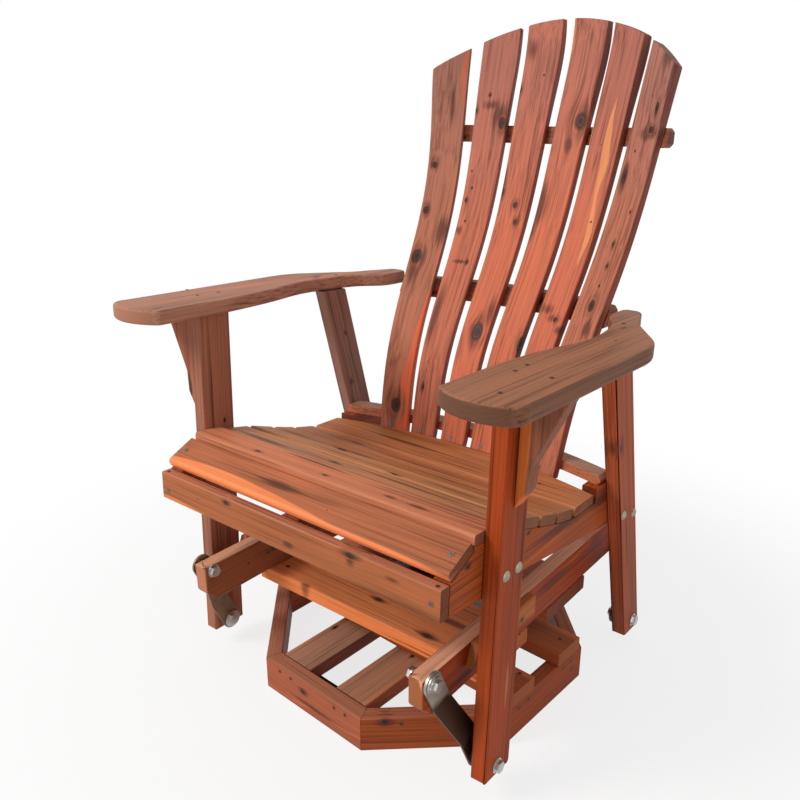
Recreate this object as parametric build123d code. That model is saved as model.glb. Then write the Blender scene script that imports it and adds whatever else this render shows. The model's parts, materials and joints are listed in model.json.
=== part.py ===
from build123d import *
import math
import os

# Adirondack swivel glider, in millimetres.
# +Z up, the sitter faces -Y, the sitter's left is +X. The pieces are made round the swivel's axis,
# and then moved so that the origin is on the floor under the middle of the chair's whole length.

# Joint clearances
joint_gap = 0.3
wood_hole_clearance = 0.2
running_clearance = 0.08
overrun = 5.0

# Octagonal base frame, turned a little against the seat as it stands
frame_sides = 8
frame_across_flats = 571.0
frame_height = 64.0
frame_board = 28.0
base_turn = -3.5

# Boards of the base
floor_plank_width = 70.0
floor_plank_gap = 64.0
floor_plank_thick = 28.0
ledger_depth = 28.0
ledger_height = 26.0
cross_plank_width = 70.0
cross_plank_gap = 76.0
cross_plank_thick = 28.0

# Swivel between base and carriage
swivel_height = 42.0
swivel_plate_size = 204.0
swivel_plate_thick = 4.0
swivel_corner_radius = 14.0
dish_rim_radius = 92.0
dish_slope_run = 11.0
dish_flange = 5.0
land_gap = 8.4
race_radius = 68.0
ball_radius = 6.0
ball_count = 12
ball_clearance = 0.15
cage_width = 18.0
cage_thick = 2.0
king_pin_radius = 8.0
king_head_radius = 13.0
king_head_thick = 4.5

# Carriage: two cross planks and two rails
carriage_plank_width = 144.0
carriage_plank_gap = 66.0
carriage_plank_thick = 28.0
link_space = 41.6
rail_length = 653.0
rail_height = 73.0
rail_thick = 28.0
rail_chamfer = 22.0
rail_block_length = 181.0
rail_block_inset = 105.5
rail_block_height = 38.0
rail_block_thick = 15.6
rail_block_slant = 15.0

# Glide links, flat steel straps
link_length = 182.0
link_width = 38.0
link_thick = 4.0
link_joggle_start = 52.0
link_joggle_end = 122.0
front_link_tilt = 25.1
rear_link_tilt = 15.2
pivot_end_inset = 17.1
pivot_top_inset = 12.0
pivot_bolt_radius = 5.0
open_pivot_play = 5.2
foot_spacer_length = 7.7

# Heads, nuts and washers
pivot_nut_flats = 17.0
pivot_nut_thick = 7.0
pivot_head_thick = 6.0
thin_washer_thick = 1.6
thin_washer_radius = 12.0
wide_washer_thick = 2.0
wide_washer_radius = 17.0
collar_radius = 13.0
collar_thick = 2.4
leg_bolt_radius = 4.0
leg_bolt_head_radius = 8.5
leg_bolt_head_height = 4.0
leg_bolt_nut_flats = 13.0
leg_bolt_nut_thick = 6.0
front_bolt_height = 376.0
front_bolt_inset = 20.0
front_bolt_rear_inset = 13.3
rear_bolt_low = 309.0
rear_bolt_high = 320.0
rear_bolt_edge = 10.5

# Seat body, leaning back as it settles on the links
seat_lean = 2.0
seat_width = 586.0
leg_thick = 27.0
leg_foot_height = 33.0
arm_underside = 647.0
front_leg_width = 66.0
front_leg_rear_y = -198.0
rear_leg_width = 63.0
rear_leg_foot_y = 231.5
rear_leg_top_y = 42.4

# Seat: a front edge, a depth and a fall that the slats follow
seat_front_y = -286.0
seat_front_height = 446.0
seat_depth = 386.0
seat_fall = 70.0
seat_slat_thick = 18.0
seat_end_gap = 1.0
seat_slat_shares = [
    (0.000, 0.148, 0.000, 0.057),
    (0.163, 0.311, 0.143, 0.300),
    (0.326, 0.466, 0.314, 0.557),
    (0.482, 0.611, 0.586, 0.786),
    (0.624, 0.759, 0.814, 0.971),
    (0.777, 1.110, 0.986, 0.986),
]
nose_gap = 7.7
nose_drop = 7.9
nose_width = 58.4
nose_tilt = 26.6
nose_round = 7.0
nose_overhang = 6.0
apron_thick = 20.0
apron_height = 49.0

# Stringers under the seat
stringer_thick = 28.0
stringer_rear_y = 222.0
stringer_front_height = 348.0
stringer_fall = 58.0
stringer_bottom_shares = [(0.14, 0.19), (0.365, 0.276), (0.83, 0.862)]
stringer_shoulder = 56.0
stringer_tail_drop = 40.0
centre_stringer_rear_y = 120.0
rail_bridge_gap = 7.0

# Back: a fan of slats bent over three rails, hollow towards the sitter
back_foot_height = 368.0
back_top_height = 1162.0
back_setback = 27.0
back_foot_gap = 1.5
back_run = 284.0
back_curve_shares = [
    (0.000, 0.000),
    (0.150, 0.109),
    (0.315, 0.320),
    (0.406, 0.472),
    (0.503, 0.613),
    (0.699, 0.803),
    (1.000, 1.000),
]
back_slat_thick = 17.5
back_foot_half_width = 200.0
back_top_half_width = 254.0
back_foot_shares = [(0.695, 1.000), (0.385, 0.650), (0.0375, 0.305)]
back_top_shares = [(0.756, 1.000), (0.387, 0.669), (0.043, 0.332)]
back_foot_hollow_radius = 1000.0
back_hollow_radius = 535.0
hollow_blend_share = 0.4
back_arch_radius = 390.0

# Back rails
rail_seat_depth = 1.2
lower_rail_thick = 17.0
lower_rail_depth = 34.0
middle_rail_height = 36.0
middle_rail_low = 631.0
middle_rail_depth = 28.0
upper_rail_height = 33.0
upper_rail_low = 934.0
upper_rail_depth = 26.0
middle_rail_half_width = 230.0
upper_rail_left_end = 257.0
upper_rail_right_end = -240.0
rail_end_chamfer = 7.0

# Arms
arm_thick = 25.0
arm_inner_x = 281.0
arm_width = 119.0
left_arm_front_y = -396.0
left_arm_length = 602.0
left_arm_tail_share = -0.204
right_arm_front_y = -376.0
right_arm_length = 628.0
right_arm_tail_share = -0.26

# Arm brackets on the front legs
bracket_thick = 27.0
left_bracket_setback = 26.0
right_bracket_setback = 4.0
bracket_height = 172.0
bracket_reach = 71.0
bracket_foot_width = 18.0
bracket_foot_height = 30.0
bracket_neck_height = 68.0
bracket_neck_width = 21.0

# Derived sizes shared by several pieces
right_angle = 90.0
frame_flat = frame_across_flats / 2
side_angle = 360.0 / frame_sides
base_top = frame_height + cross_plank_thick
swivel_middle = base_top + swivel_height / 2
carriage_bottom = base_top + swivel_height
rail_bottom = carriage_bottom + carriage_plank_thick
rail_top = rail_bottom + rail_height
rail_outer_x = seat_width / 2 - link_space
rail_inner_x = rail_outer_x - rail_thick
upper_pivot_y = rail_length / 2 - pivot_end_inset
upper_pivot_z = rail_top - pivot_top_inset
leg_inner_x = seat_width / 2
leg_outer_x = leg_inner_x + leg_thick
front_leg_front_y = front_leg_rear_y - front_leg_width
link_top_inner_x = rail_outer_x + thin_washer_thick + joint_gap
link_foot_outer_x = leg_inner_x - foot_spacer_length - joint_gap
seat_half_length = leg_inner_x - seat_end_gap
back_height = back_top_height - back_foot_height
back_foot_y = seat_front_y + seat_depth + back_setback


def block(x_low, x_high, y_low, y_high, z_low, z_high):
    """A square-edged board between six planes."""
    middle = ((x_low + x_high) / 2, (y_low + y_high) / 2, (z_low + z_high) / 2)
    return Pos(*middle) * Box(x_high - x_low, y_high - y_low, z_high - z_low)


def side_board(points, x_low, x_high):
    """A board with a closed outline seen from the side, as (y, z) points."""
    outline = make_face(Polyline(*points, close=True))
    return extrude(Plane.YZ.offset(x_low) * outline, x_high - x_low)


def rod(radius, x_low, x_high):
    """A round bar along X."""
    return Pos((x_low + x_high) / 2, 0, 0) * Rot(0, right_angle, 0) * Cylinder(radius, x_high - x_low)


def hexagon(flats, x_low, x_high):
    """A hexagonal nut or head along X."""
    outline = RegularPolygon(flats / 2, 6, major_radius=False)
    return extrude(Plane.YZ.offset(x_low) * outline, x_high - x_low)


def mirrored(shape):
    """The same piece on the other side of the chair."""
    return mirror(shape, about=Plane.YZ)


def lean(shape):
    """Turns a piece of the seat body to the angle at which the seat hangs."""
    return Rot(-seat_lean, 0, 0) * shape


def to_seat(y, z):
    """A place in the carriage's frame, seen in the seat's own square frame."""
    angle = math.radians(seat_lean)
    return (y * math.cos(angle) - z * math.sin(angle), y * math.sin(angle) + z * math.cos(angle))


pieces = {}


def save(name, shape):
    pieces[name] = shape


def export_pieces():
    """Writes every piece, with the origin under the middle of the whole chair."""
    whole = Compound(list(pieces.values())).bounding_box()
    middle = (whole.min.Y + whole.max.Y) / 2
    os.makedirs("parts", exist_ok=True)
    for name, shape in pieces.items():
        export_step(Pos(0, -middle, 0) * shape, "parts/" + name + ".step")


def save_pair(name, left):
    save(name + "_left", left)
    save(name + "_right", mirrored(left))


def frame_side():
    """One mitred board of the octagon, on the +X side."""
    half_angle = math.radians(side_angle / 2)
    inner_flat = frame_flat - frame_board
    outer_half = frame_flat * math.tan(half_angle) - joint_gap
    inner_half = inner_flat * math.tan(half_angle) - joint_gap
    outline = Polyline(
        (frame_flat, -outer_half),
        (frame_flat, outer_half),
        (inner_flat, inner_half),
        (inner_flat, -inner_half),
        close=True,
    )
    return extrude(make_face(outline), frame_height)


def frame_outline(z_low, z_high):
    """The space inside the octagon's outer faces."""
    octagon = RegularPolygon(frame_flat, frame_sides, major_radius=False, rotation=side_angle / 2)
    return extrude(Plane.XY.offset(z_low) * octagon, z_high - z_low)


def turned(shape):
    """Turns a piece of the base to its angle under the seat."""
    return Rot(0, 0, base_turn) * shape


def make_base():
    side = frame_side()
    for index in range(frame_sides):
        save("base_side_" + str(index + 1), turned(Rot(0, 0, index * side_angle) * side))

    reach = frame_flat - frame_board - joint_gap
    plank_low = frame_height - floor_plank_thick
    inner_x = floor_plank_gap / 2
    outer_x = inner_x + floor_plank_width
    plank = block(inner_x, outer_x, -reach, reach, plank_low, frame_height)
    save("base_plank_left", turned(plank))
    save("base_plank_right", turned(mirrored(plank)))

    ledger = block(-outer_x, outer_x, reach - ledger_depth, reach, plank_low - ledger_height, plank_low)
    save("base_ledgers", turned(Compound([ledger, mirror(ledger, about=Plane.XZ)])))

    near_y = cross_plank_gap / 2
    board = block(-frame_flat, frame_flat, near_y, near_y + cross_plank_width, frame_height, base_top)
    cross_plank = board & frame_outline(frame_height, base_top)
    save("base_cross_plank_rear", turned(cross_plank))
    save("base_cross_plank_front", turned(mirror(cross_plank, about=Plane.XZ)))


def swivel_plate(hole_radius):
    """A square pressed plate whose dish carries half of the ball race, lying on z = 0."""
    land = (swivel_height - land_gap) / 2
    shoulder = dish_rim_radius - dish_slope_run
    inner_step = swivel_plate_thick * math.tan(math.radians(side_angle / 2))
    section = Polyline(
        (hole_radius, land - swivel_plate_thick),
        (hole_radius, land),
        (shoulder, land),
        (dish_rim_radius, swivel_plate_thick),
        (dish_rim_radius + dish_flange, swivel_plate_thick),
        (dish_rim_radius + dish_flange, 0),
        (dish_rim_radius - inner_step, 0),
        (shoulder - inner_step, land - swivel_plate_thick),
        close=True,
    )
    dish = revolve(make_face(Plane.XZ * section), Axis.Z)
    outline = RectangleRounded(swivel_plate_size, swivel_plate_size, swivel_corner_radius)
    flange = extrude(outline - Circle(dish_rim_radius), swivel_plate_thick)
    groove_centre = Plane.XZ * Pos(race_radius, swivel_height / 2) * Circle(ball_radius + ball_clearance)
    return flange + dish - revolve(groove_centre, Axis.Z)


def make_swivel():
    lower = swivel_plate(king_pin_radius + joint_gap / 2)
    upper = swivel_plate(king_pin_radius + running_clearance)
    save("swivel_lower_plate", turned(Pos(0, 0, base_top) * lower))
    save("swivel_upper_plate", Pos(0, 0, carriage_bottom) * mirror(upper, about=Plane.XY))

    ring = [Rot(0, 0, index * 360.0 / ball_count) * Pos(race_radius, 0, 0) for index in range(ball_count)]
    balls = [Pos(0, 0, swivel_middle) * place * Sphere(ball_radius) for place in ring]
    save("swivel_balls", Compound(balls))

    cage_outline = Circle(race_radius + cage_width / 2) - Circle(race_radius - cage_width / 2)
    for place in ring:
        cage_outline = cage_outline - place * Circle(ball_radius + ball_clearance)
    cage = extrude(Plane.XY.offset(swivel_middle - cage_thick / 2) * cage_outline, cage_thick)
    save("swivel_cage", cage)

    land = land_gap / 2 + swivel_plate_thick
    head_top = swivel_middle - land
    cap_low = swivel_middle + land + joint_gap
    head_low = head_top - king_head_thick
    cap_high = cap_low + king_head_thick
    pin = Pos(0, 0, (head_low + cap_high) / 2) * Cylinder(king_pin_radius, cap_high - head_low)
    head = Pos(0, 0, (head_low + head_top) / 2) * Cylinder(king_head_radius, king_head_thick)
    cap = Pos(0, 0, (cap_low + cap_high) / 2) * Cylinder(king_head_radius, king_head_thick)
    save("swivel_king_pin", pin + head + cap)


def upper_pivot_bolt():
    """Bolt, nut and washers through a rail and the top of a link, on the X axis."""
    nut_high = rail_inner_x - thin_washer_thick
    nut_low = nut_high - pivot_nut_thick
    washer_low = link_top_inner_x + link_thick + joint_gap
    collar_low = washer_low + wide_washer_thick
    head_low = collar_low + collar_thick
    head_high = head_low + pivot_head_thick
    return (
        rod(pivot_bolt_radius, nut_low, head_high)
        + hexagon(pivot_nut_flats, nut_low, nut_high)
        + rod(thin_washer_radius, nut_high, rail_inner_x)
        + rod(thin_washer_radius, rail_outer_x, rail_outer_x + thin_washer_thick)
        + rod(wide_washer_radius, washer_low, collar_low)
        + rod(collar_radius, collar_low, head_low)
        + hexagon(pivot_nut_flats, head_low, head_high)
    )


def lower_pivot_bolt():
    """Bolt, spacer, nut and washers through a leg and the foot of a link, on the X axis."""
    washer_high = link_foot_outer_x - link_thick - joint_gap
    head_high = washer_high - wide_washer_thick
    head_low = head_high - pivot_head_thick
    nut_low = leg_outer_x + thin_washer_thick
    nut_high = nut_low + pivot_nut_thick
    return (
        rod(pivot_bolt_radius, head_low, nut_high)
        + hexagon(pivot_nut_flats, head_low, head_high)
        + rod(wide_washer_radius, head_high, washer_high)
        + rod(thin_washer_radius, link_foot_outer_x + joint_gap, leg_inner_x)
        + rod(thin_washer_radius, leg_outer_x, nut_low)
        + hexagon(pivot_nut_flats, nut_low, nut_high)
    )


def make_carriage():
    near_y = carriage_plank_gap / 2
    far_y = near_y + carriage_plank_width
    plank = block(-rail_outer_x, rail_outer_x, near_y, far_y, carriage_bottom, rail_bottom)
    save("carriage_plank_rear", plank)
    save("carriage_plank_front", mirror(plank, about=Plane.XZ))

    end = rail_length / 2
    outline = [
        (-end, rail_bottom + rail_chamfer),
        (-end + rail_chamfer, rail_bottom),
        (end - rail_chamfer, rail_bottom),
        (end, rail_bottom + rail_chamfer),
        (end, rail_top),
        (-end, rail_top),
    ]
    rail = side_board(outline, rail_inner_x, rail_outer_x)
    hole = rod(pivot_bolt_radius + wood_hole_clearance, rail_inner_x - overrun, rail_outer_x + overrun)
    for y in (-upper_pivot_y, upper_pivot_y):
        rail = rail - Pos(0, y, upper_pivot_z) * hole
    save_pair("carriage_rail", rail)

    block_front = -end + rail_block_inset
    block_rear = block_front + rail_block_length
    block_low = rail_top - rail_block_height
    block_outline = [
        (block_front, block_low),
        (block_rear, block_low),
        (block_rear, rail_top),
        (block_front + rail_block_slant, rail_top),
    ]
    rail_block = side_board(block_outline, rail_outer_x, rail_outer_x + rail_block_thick)
    save_pair("carriage_rail_block", rail_block)

    bolt = Pos(0, upper_pivot_y, upper_pivot_z) * upper_pivot_bolt()
    left_bolts = [bolt, mirror(bolt, about=Plane.XZ)]
    save("upper_pivot_bolts", Compound(left_bolts + [mirrored(item) for item in left_bolts]))


def link(foot_hole_radius):
    """A joggled strap hanging from the X axis, rounded at both ends."""
    round_end = link_width / 2
    top_inner = link_top_inner_x
    foot_inner = link_foot_outer_x - link_thick
    profile = Polyline(
        (top_inner, round_end),
        (top_inner + link_thick, round_end),
        (top_inner + link_thick, -link_joggle_start),
        (link_foot_outer_x, -link_joggle_end),
        (link_foot_outer_x, -link_length - round_end),
        (foot_inner, -link_length - round_end),
        (foot_inner, -link_joggle_end),
        (top_inner, -link_joggle_start),
        close=True,
    )
    strap = extrude(make_face(Plane.XZ * profile), round_end, both=True)
    plate = rod(round_end, rail_inner_x, leg_outer_x) + Pos(0, 0, -link_length) * rod(
        round_end, rail_inner_x, leg_outer_x
    )
    plate = plate + block(rail_inner_x, leg_outer_x, -round_end, round_end, -link_length, 0)
    top_hole = rod(pivot_bolt_radius + running_clearance, rail_inner_x, leg_outer_x)
    foot_hole = Pos(0, 0, -link_length) * rod(foot_hole_radius, rail_inner_x, leg_outer_x)
    return (strap & plate) - top_hole - foot_hole


def make_links():
    running = pivot_bolt_radius + running_clearance
    front = Pos(0, -upper_pivot_y, upper_pivot_z) * Rot(front_link_tilt, 0, 0) * link(running)
    rear_strap = link(pivot_bolt_radius + open_pivot_play)
    rear = Pos(0, upper_pivot_y, upper_pivot_z) * Rot(-rear_link_tilt, 0, 0) * rear_strap
    save_pair("front_link", front)
    save_pair("rear_link", rear)


def foot_pivot(side, tilt):
    """The lower pivot of a link, in the seat's own frame; side is -1 in front and 1 behind."""
    angle = math.radians(tilt)
    y = side * (upper_pivot_y - link_length * math.sin(angle))
    z = upper_pivot_z - link_length * math.cos(angle)
    return to_seat(y, z)


front_pivot = foot_pivot(-1, front_link_tilt)
rear_pivot = foot_pivot(1, rear_link_tilt)


def rear_leg_front(z):
    """The rear leg's front edge at a height."""
    share = (z - leg_foot_height) / (arm_underside - leg_foot_height)
    return rear_leg_foot_y + share * (rear_leg_top_y - rear_leg_foot_y)


def leg_bolt_places():
    """Where the bolts join legs and stringers, as (y, z), two in front and two behind."""
    low_edge = rear_leg_front(rear_bolt_low) + rear_leg_width
    return [
        (front_leg_front_y + front_bolt_inset, front_bolt_height),
        (front_leg_rear_y - front_bolt_rear_inset, front_bolt_height),
        (rear_leg_front(rear_bolt_high) + rear_bolt_edge, rear_bolt_high),
        (low_edge - rear_bolt_edge, rear_bolt_low),
    ]


def drill(board, places, radius):
    """Bores a board along X at each (y, z) place."""
    hole = rod(radius, leg_inner_x - stringer_thick - overrun, leg_outer_x + overrun)
    for y, z in places:
        board = board - Pos(0, y, z) * hole
    return board


def make_legs():
    bolt_hole = leg_bolt_radius + wood_hole_clearance
    pivot_hole = pivot_bolt_radius + wood_hole_clearance
    places = leg_bolt_places()

    front = block(
        leg_inner_x, leg_outer_x, front_leg_front_y, front_leg_rear_y, leg_foot_height, arm_underside
    )
    front = drill(drill(front, places[:2], bolt_hole), [front_pivot], pivot_hole)
    save_pair("front_leg", lean(front))

    outline = [
        (rear_leg_foot_y, leg_foot_height),
        (rear_leg_foot_y + rear_leg_width, leg_foot_height),
        (rear_leg_top_y + rear_leg_width, arm_underside),
        (rear_leg_top_y, arm_underside),
    ]
    rear = side_board(outline, leg_inner_x, leg_outer_x)
    rear = drill(drill(rear, places[2:], bolt_hole), [rear_pivot], pivot_hole)
    save_pair("rear_leg", lean(rear))

    bolt = lower_pivot_bolt()
    for name, place in (("front", front_pivot), ("rear", rear_pivot)):
        placed = lean(Pos(0, *place) * bolt)
        save(name + "_lower_pivot_bolts", Compound([placed, mirrored(placed)]))


def leg_bolt():
    """A round-headed bolt from a leg's outer face to a nut on the stringer's inner face."""
    nut_high = leg_inner_x - stringer_thick
    nut_low = nut_high - leg_bolt_nut_thick
    rim = (leg_outer_x, leg_bolt_head_radius)
    far_rim = (leg_outer_x, -leg_bolt_head_radius)
    crown = SagittaArc(rim, far_rim, leg_bolt_head_height)
    section = make_face(Curve() + [crown, Line(crown @ 1, crown @ 0)])
    section = section & (Pos(leg_outer_x, leg_outer_x / 2) * Rectangle(leg_outer_x, leg_outer_x))
    dome = revolve(section, Axis.X)
    shank = rod(leg_bolt_radius, nut_low, leg_outer_x)
    return dome + shank + hexagon(leg_bolt_nut_flats, nut_low, nut_high)


def slat_top(index):
    """Front and rear point of a seat slat's top face, as (y, z)."""
    start, end, start_fall, end_fall = seat_slat_shares[index]
    front = (seat_front_y + start * seat_depth, seat_front_height - start_fall * seat_fall)
    rear = (seat_front_y + end * seat_depth, seat_front_height - end_fall * seat_fall)
    return front, rear


def board_under(front, rear, thick):
    """The four corners of a board whose top face runs from front to rear."""
    run = rear[0] - front[0]
    rise = rear[1] - front[1]
    length = math.hypot(run, rise)
    shift = (rise / length * thick, -run / length * thick)
    front_low = (front[0] + shift[0], front[1] + shift[1])
    rear_low = (rear[0] + shift[0], rear[1] + shift[1])
    return front, rear, rear_low, front_low


def nose_corners():
    angle = math.radians(nose_tilt)
    rear = (seat_front_y - nose_gap, seat_front_height - nose_drop)
    front = (rear[0] - nose_width * math.cos(angle), rear[1] - nose_width * math.sin(angle))
    return board_under(front, rear, seat_slat_thick)


def back_hollow_radius_at(share):
    """The plan radius of the back, wide at the seat and tighter from the middle rail up."""
    blend = min(1.0, share / hollow_blend_share)
    return 1.0 / ((1.0 - blend) / back_foot_hollow_radius + blend / back_hollow_radius)


def back_centre(share):
    """Depth of the back's front face at mid width."""
    knots = back_curve_shares
    low, high = knots[0], knots[1]
    for index in range(1, len(knots)):
        if share > knots[index - 1][0]:
            low, high = knots[index - 1], knots[index]
    part = (share - low[0]) / (high[0] - low[0])
    return back_foot_y + back_run * (low[1] + part * (high[1] - low[1]))


def back_face(x, share):
    """The back's front face at a place across and a share of its height."""
    radius = back_hollow_radius_at(share)
    return back_centre(share) - radius + math.sqrt(radius**2 - x**2)


def back_slope(share):
    """How far the back leans at a share of its height, as a tangent."""
    step_share = 0.05
    low = max(0.0, share - step_share)
    high = min(1.0, share + step_share)
    return (back_centre(high) - back_centre(low)) / ((high - low) * back_height)


def back_thickness_at(share):
    """The level thickness of a leaning slat."""
    return back_slat_thick * math.hypot(1.0, back_slope(share))


def slat_section(index, share):
    """One level section of a back slat, on the sitter's left."""
    foot = back_foot_shares[index]
    top = back_top_shares[index]
    edges = []
    for end in (0, 1):
        foot_x = foot[end] * back_foot_half_width
        top_x = top[end] * back_top_half_width
        x = foot_x + share * (top_x - foot_x)
        edges.append((x, back_face(x, share)))
    inner, outer = edges
    run = outer[0] - inner[0]
    rise = outer[1] - inner[1]
    length = math.hypot(run, rise)
    thick = back_thickness_at(share)
    shift = (-rise / length * thick, run / length * thick)
    corners = [
        inner,
        outer,
        (outer[0] + shift[0], outer[1] + shift[1]),
        (inner[0] + shift[0], inner[1] + shift[1]),
    ]
    height = back_foot_height + share * back_height
    return Plane.XY.offset(height) * make_face(Polyline(*corners, close=True))


def back_slat(index):
    """A slat bent over the rails and cut to the arch at its top."""
    sections = [slat_section(index, share) for share, depth in back_curve_shares]
    slat = loft(sections)
    arch_centre = back_top_height - back_arch_radius
    reach = 2 * back_run + back_foot_y
    arch = Pos(0, 0, arch_centre) * Rot(right_angle, 0, 0) * Cylinder(back_arch_radius, 2 * reach)
    below = block(-back_arch_radius, back_arch_radius, -reach, reach, 0, arch_centre)
    return slat & (arch + below)


def rail_section(z, rear_z, depth, half_width):
    """A level section of a back rail: its front follows the slats, its rear stays put."""
    share = (z - back_foot_height) / back_height
    rear_share = (rear_z - back_foot_height) / back_height
    offset = back_thickness_at(share) - rail_seat_depth
    rear_offset = back_thickness_at(rear_share) + depth
    front = [
        (-half_width, back_face(half_width, share) + offset),
        (0, back_face(0, share) + offset),
        (half_width, back_face(half_width, share) + offset),
    ]
    rear = [
        (half_width, back_face(half_width, rear_share) + rear_offset),
        (0, back_face(0, rear_share) + rear_offset),
        (-half_width, back_face(half_width, rear_share) + rear_offset),
    ]
    edges = [
        ThreePointArc(*front),
        Line(front[2], rear[0]),
        ThreePointArc(*rear),
        Line(rear[2], front[0]),
    ]
    return Plane.XY.offset(z) * make_face(Curve() + edges)


def back_rail(low, height, depth, ends, slats):
    """A rail behind the slats from one end to the other, cut away where each slat lies against it."""
    reach = 4 * back_run
    high = low + height
    half_width = max(ends) + overrun
    sections = [rail_section(z, high, depth, half_width) for z in (low, high)]
    rail = loft(sections, ruled=True)
    for slat in slats:
        rail = rail - slat
    rail = rail & block(min(ends), max(ends), -reach, reach, low - overrun, high + overrun)
    for end_x in ends:
        for corner_z in (low, high):
            cut = Box(rail_end_chamfer * math.sqrt(2), reach, rail_end_chamfer * math.sqrt(2))
            rail = rail - Pos(end_x, 0, corner_z) * Rot(0, right_angle / 2, 0) * cut
    return rail


def make_back():
    left_slats = [back_slat(index) for index in range(len(back_foot_shares))]
    slats = left_slats + [mirrored(slat) for slat in left_slats]
    for index, slat in enumerate(left_slats):
        save("back_slat_" + str(len(slats) - index), lean(slat))
        save("back_slat_" + str(index + 1), lean(mirrored(slat)))

    lower_rail_low = slat_top(len(seat_slat_shares) - 1)[1][1] + rail_bridge_gap
    lower_ends = (-seat_half_length, seat_half_length)
    middle_ends = (-middle_rail_half_width, middle_rail_half_width)
    upper_ends = (upper_rail_right_end, upper_rail_left_end)
    lower = back_rail(lower_rail_low, lower_rail_thick, lower_rail_depth, lower_ends, slats)
    middle = back_rail(middle_rail_low, middle_rail_height, middle_rail_depth, middle_ends, slats)
    upper = back_rail(upper_rail_low, upper_rail_height, upper_rail_depth, upper_ends, slats)
    save("lower_back_rail", lean(lower))
    save("middle_back_rail", lean(middle))
    save("upper_back_rail", lean(upper))


def rear_edge_cut(z_low, z_high):
    """The space behind the last seat slat, which follows the hollow of the back."""
    radius = back_foot_hollow_radius
    centre_y = back_foot_y - back_foot_gap - radius
    hollow = Pos(0, centre_y, (z_low + z_high) / 2) * Cylinder(radius, z_high - z_low)
    behind = block(-leg_outer_x, leg_outer_x, 0, seat_depth, z_low, z_high)
    return behind - hollow


def stringer_outline(rear_y, shoulder_height):
    """A stringer's side view: level with the slats' undersides above, tapered below."""
    nose = nose_corners()
    front_y = nose[0][0] + nose_overhang
    length = stringer_rear_y - front_y
    top = [(front_y, nose[3][1]), nose[3], nose[2]]
    for index in range(len(seat_slat_shares) - 1):
        corners = board_under(*slat_top(index), seat_slat_thick)
        top = top + [corners[3], corners[2]]
    last_front, last_rear, last_rear_low, last_front_low = board_under(
        *slat_top(len(seat_slat_shares) - 1), seat_slat_thick
    )
    top.append(last_front_low)
    bottom = [(front_y, stringer_front_height)]
    for along, down in stringer_bottom_shares:
        bottom.append((front_y + along * length, stringer_front_height - down * stringer_fall))
    if shoulder_height is None:
        tail = [(rear_y, last_front_low[1]), (rear_y, bottom[-1][1])]
        return top + tail + bottom[-2::-1]
    edge_x = leg_inner_x - stringer_thick
    radius = back_foot_hollow_radius
    riser_y = back_foot_y - radius + math.sqrt(radius**2 - edge_x**2) + joint_gap
    tail = [
        (riser_y, last_front_low[1]),
        (riser_y, shoulder_height),
        (riser_y + stringer_shoulder, shoulder_height),
        (rear_y, shoulder_height - stringer_tail_drop),
        (rear_y, stringer_front_height - stringer_fall),
    ]
    return top + tail + bottom[::-1]


def make_seat():
    names = range(1, len(seat_slat_shares) + 1)
    last = len(seat_slat_shares)
    for number in names:
        slat = side_board(
            board_under(*slat_top(number - 1), seat_slat_thick), -seat_half_length, seat_half_length
        )
        if number == last:
            slat = slat - rear_edge_cut(0, seat_front_height)
        save("seat_slat_" + str(number), lean(slat))

    nose = nose_corners()
    nose_slat = side_board(nose, -seat_half_length, seat_half_length)
    front_edges = nose_slat.edges().filter_by(Axis.X).sort_by(Axis.Y)[:2]
    save("seat_nose_slat", lean(fillet(front_edges, nose_round)))

    apron_rear = nose[0][0] + nose_overhang
    apron_high = nose[3][1] - joint_gap
    apron = block(
        -seat_half_length,
        seat_half_length,
        apron_rear - apron_thick,
        apron_rear,
        apron_high - apron_height,
        apron_high,
    )
    save("seat_apron", lean(apron))

    shoulder = slat_top(last - 1)[1][1] + rail_bridge_gap
    stringer = side_board(
        stringer_outline(stringer_rear_y, shoulder), leg_inner_x - stringer_thick, leg_inner_x
    )
    stringer = drill(stringer, leg_bolt_places(), leg_bolt_radius + wood_hole_clearance)
    save_pair("seat_stringer", lean(stringer))
    centre = side_board(
        stringer_outline(centre_stringer_rear_y, None), -stringer_thick / 2, stringer_thick / 2
    )
    save("seat_centre_stringer", lean(centre))

    bolt = leg_bolt()
    bolts = [lean(Pos(0, y, z) * bolt) for y, z in leg_bolt_places()]
    save("leg_bolts", Compound(bolts + [mirrored(item) for item in bolts]))


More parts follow.
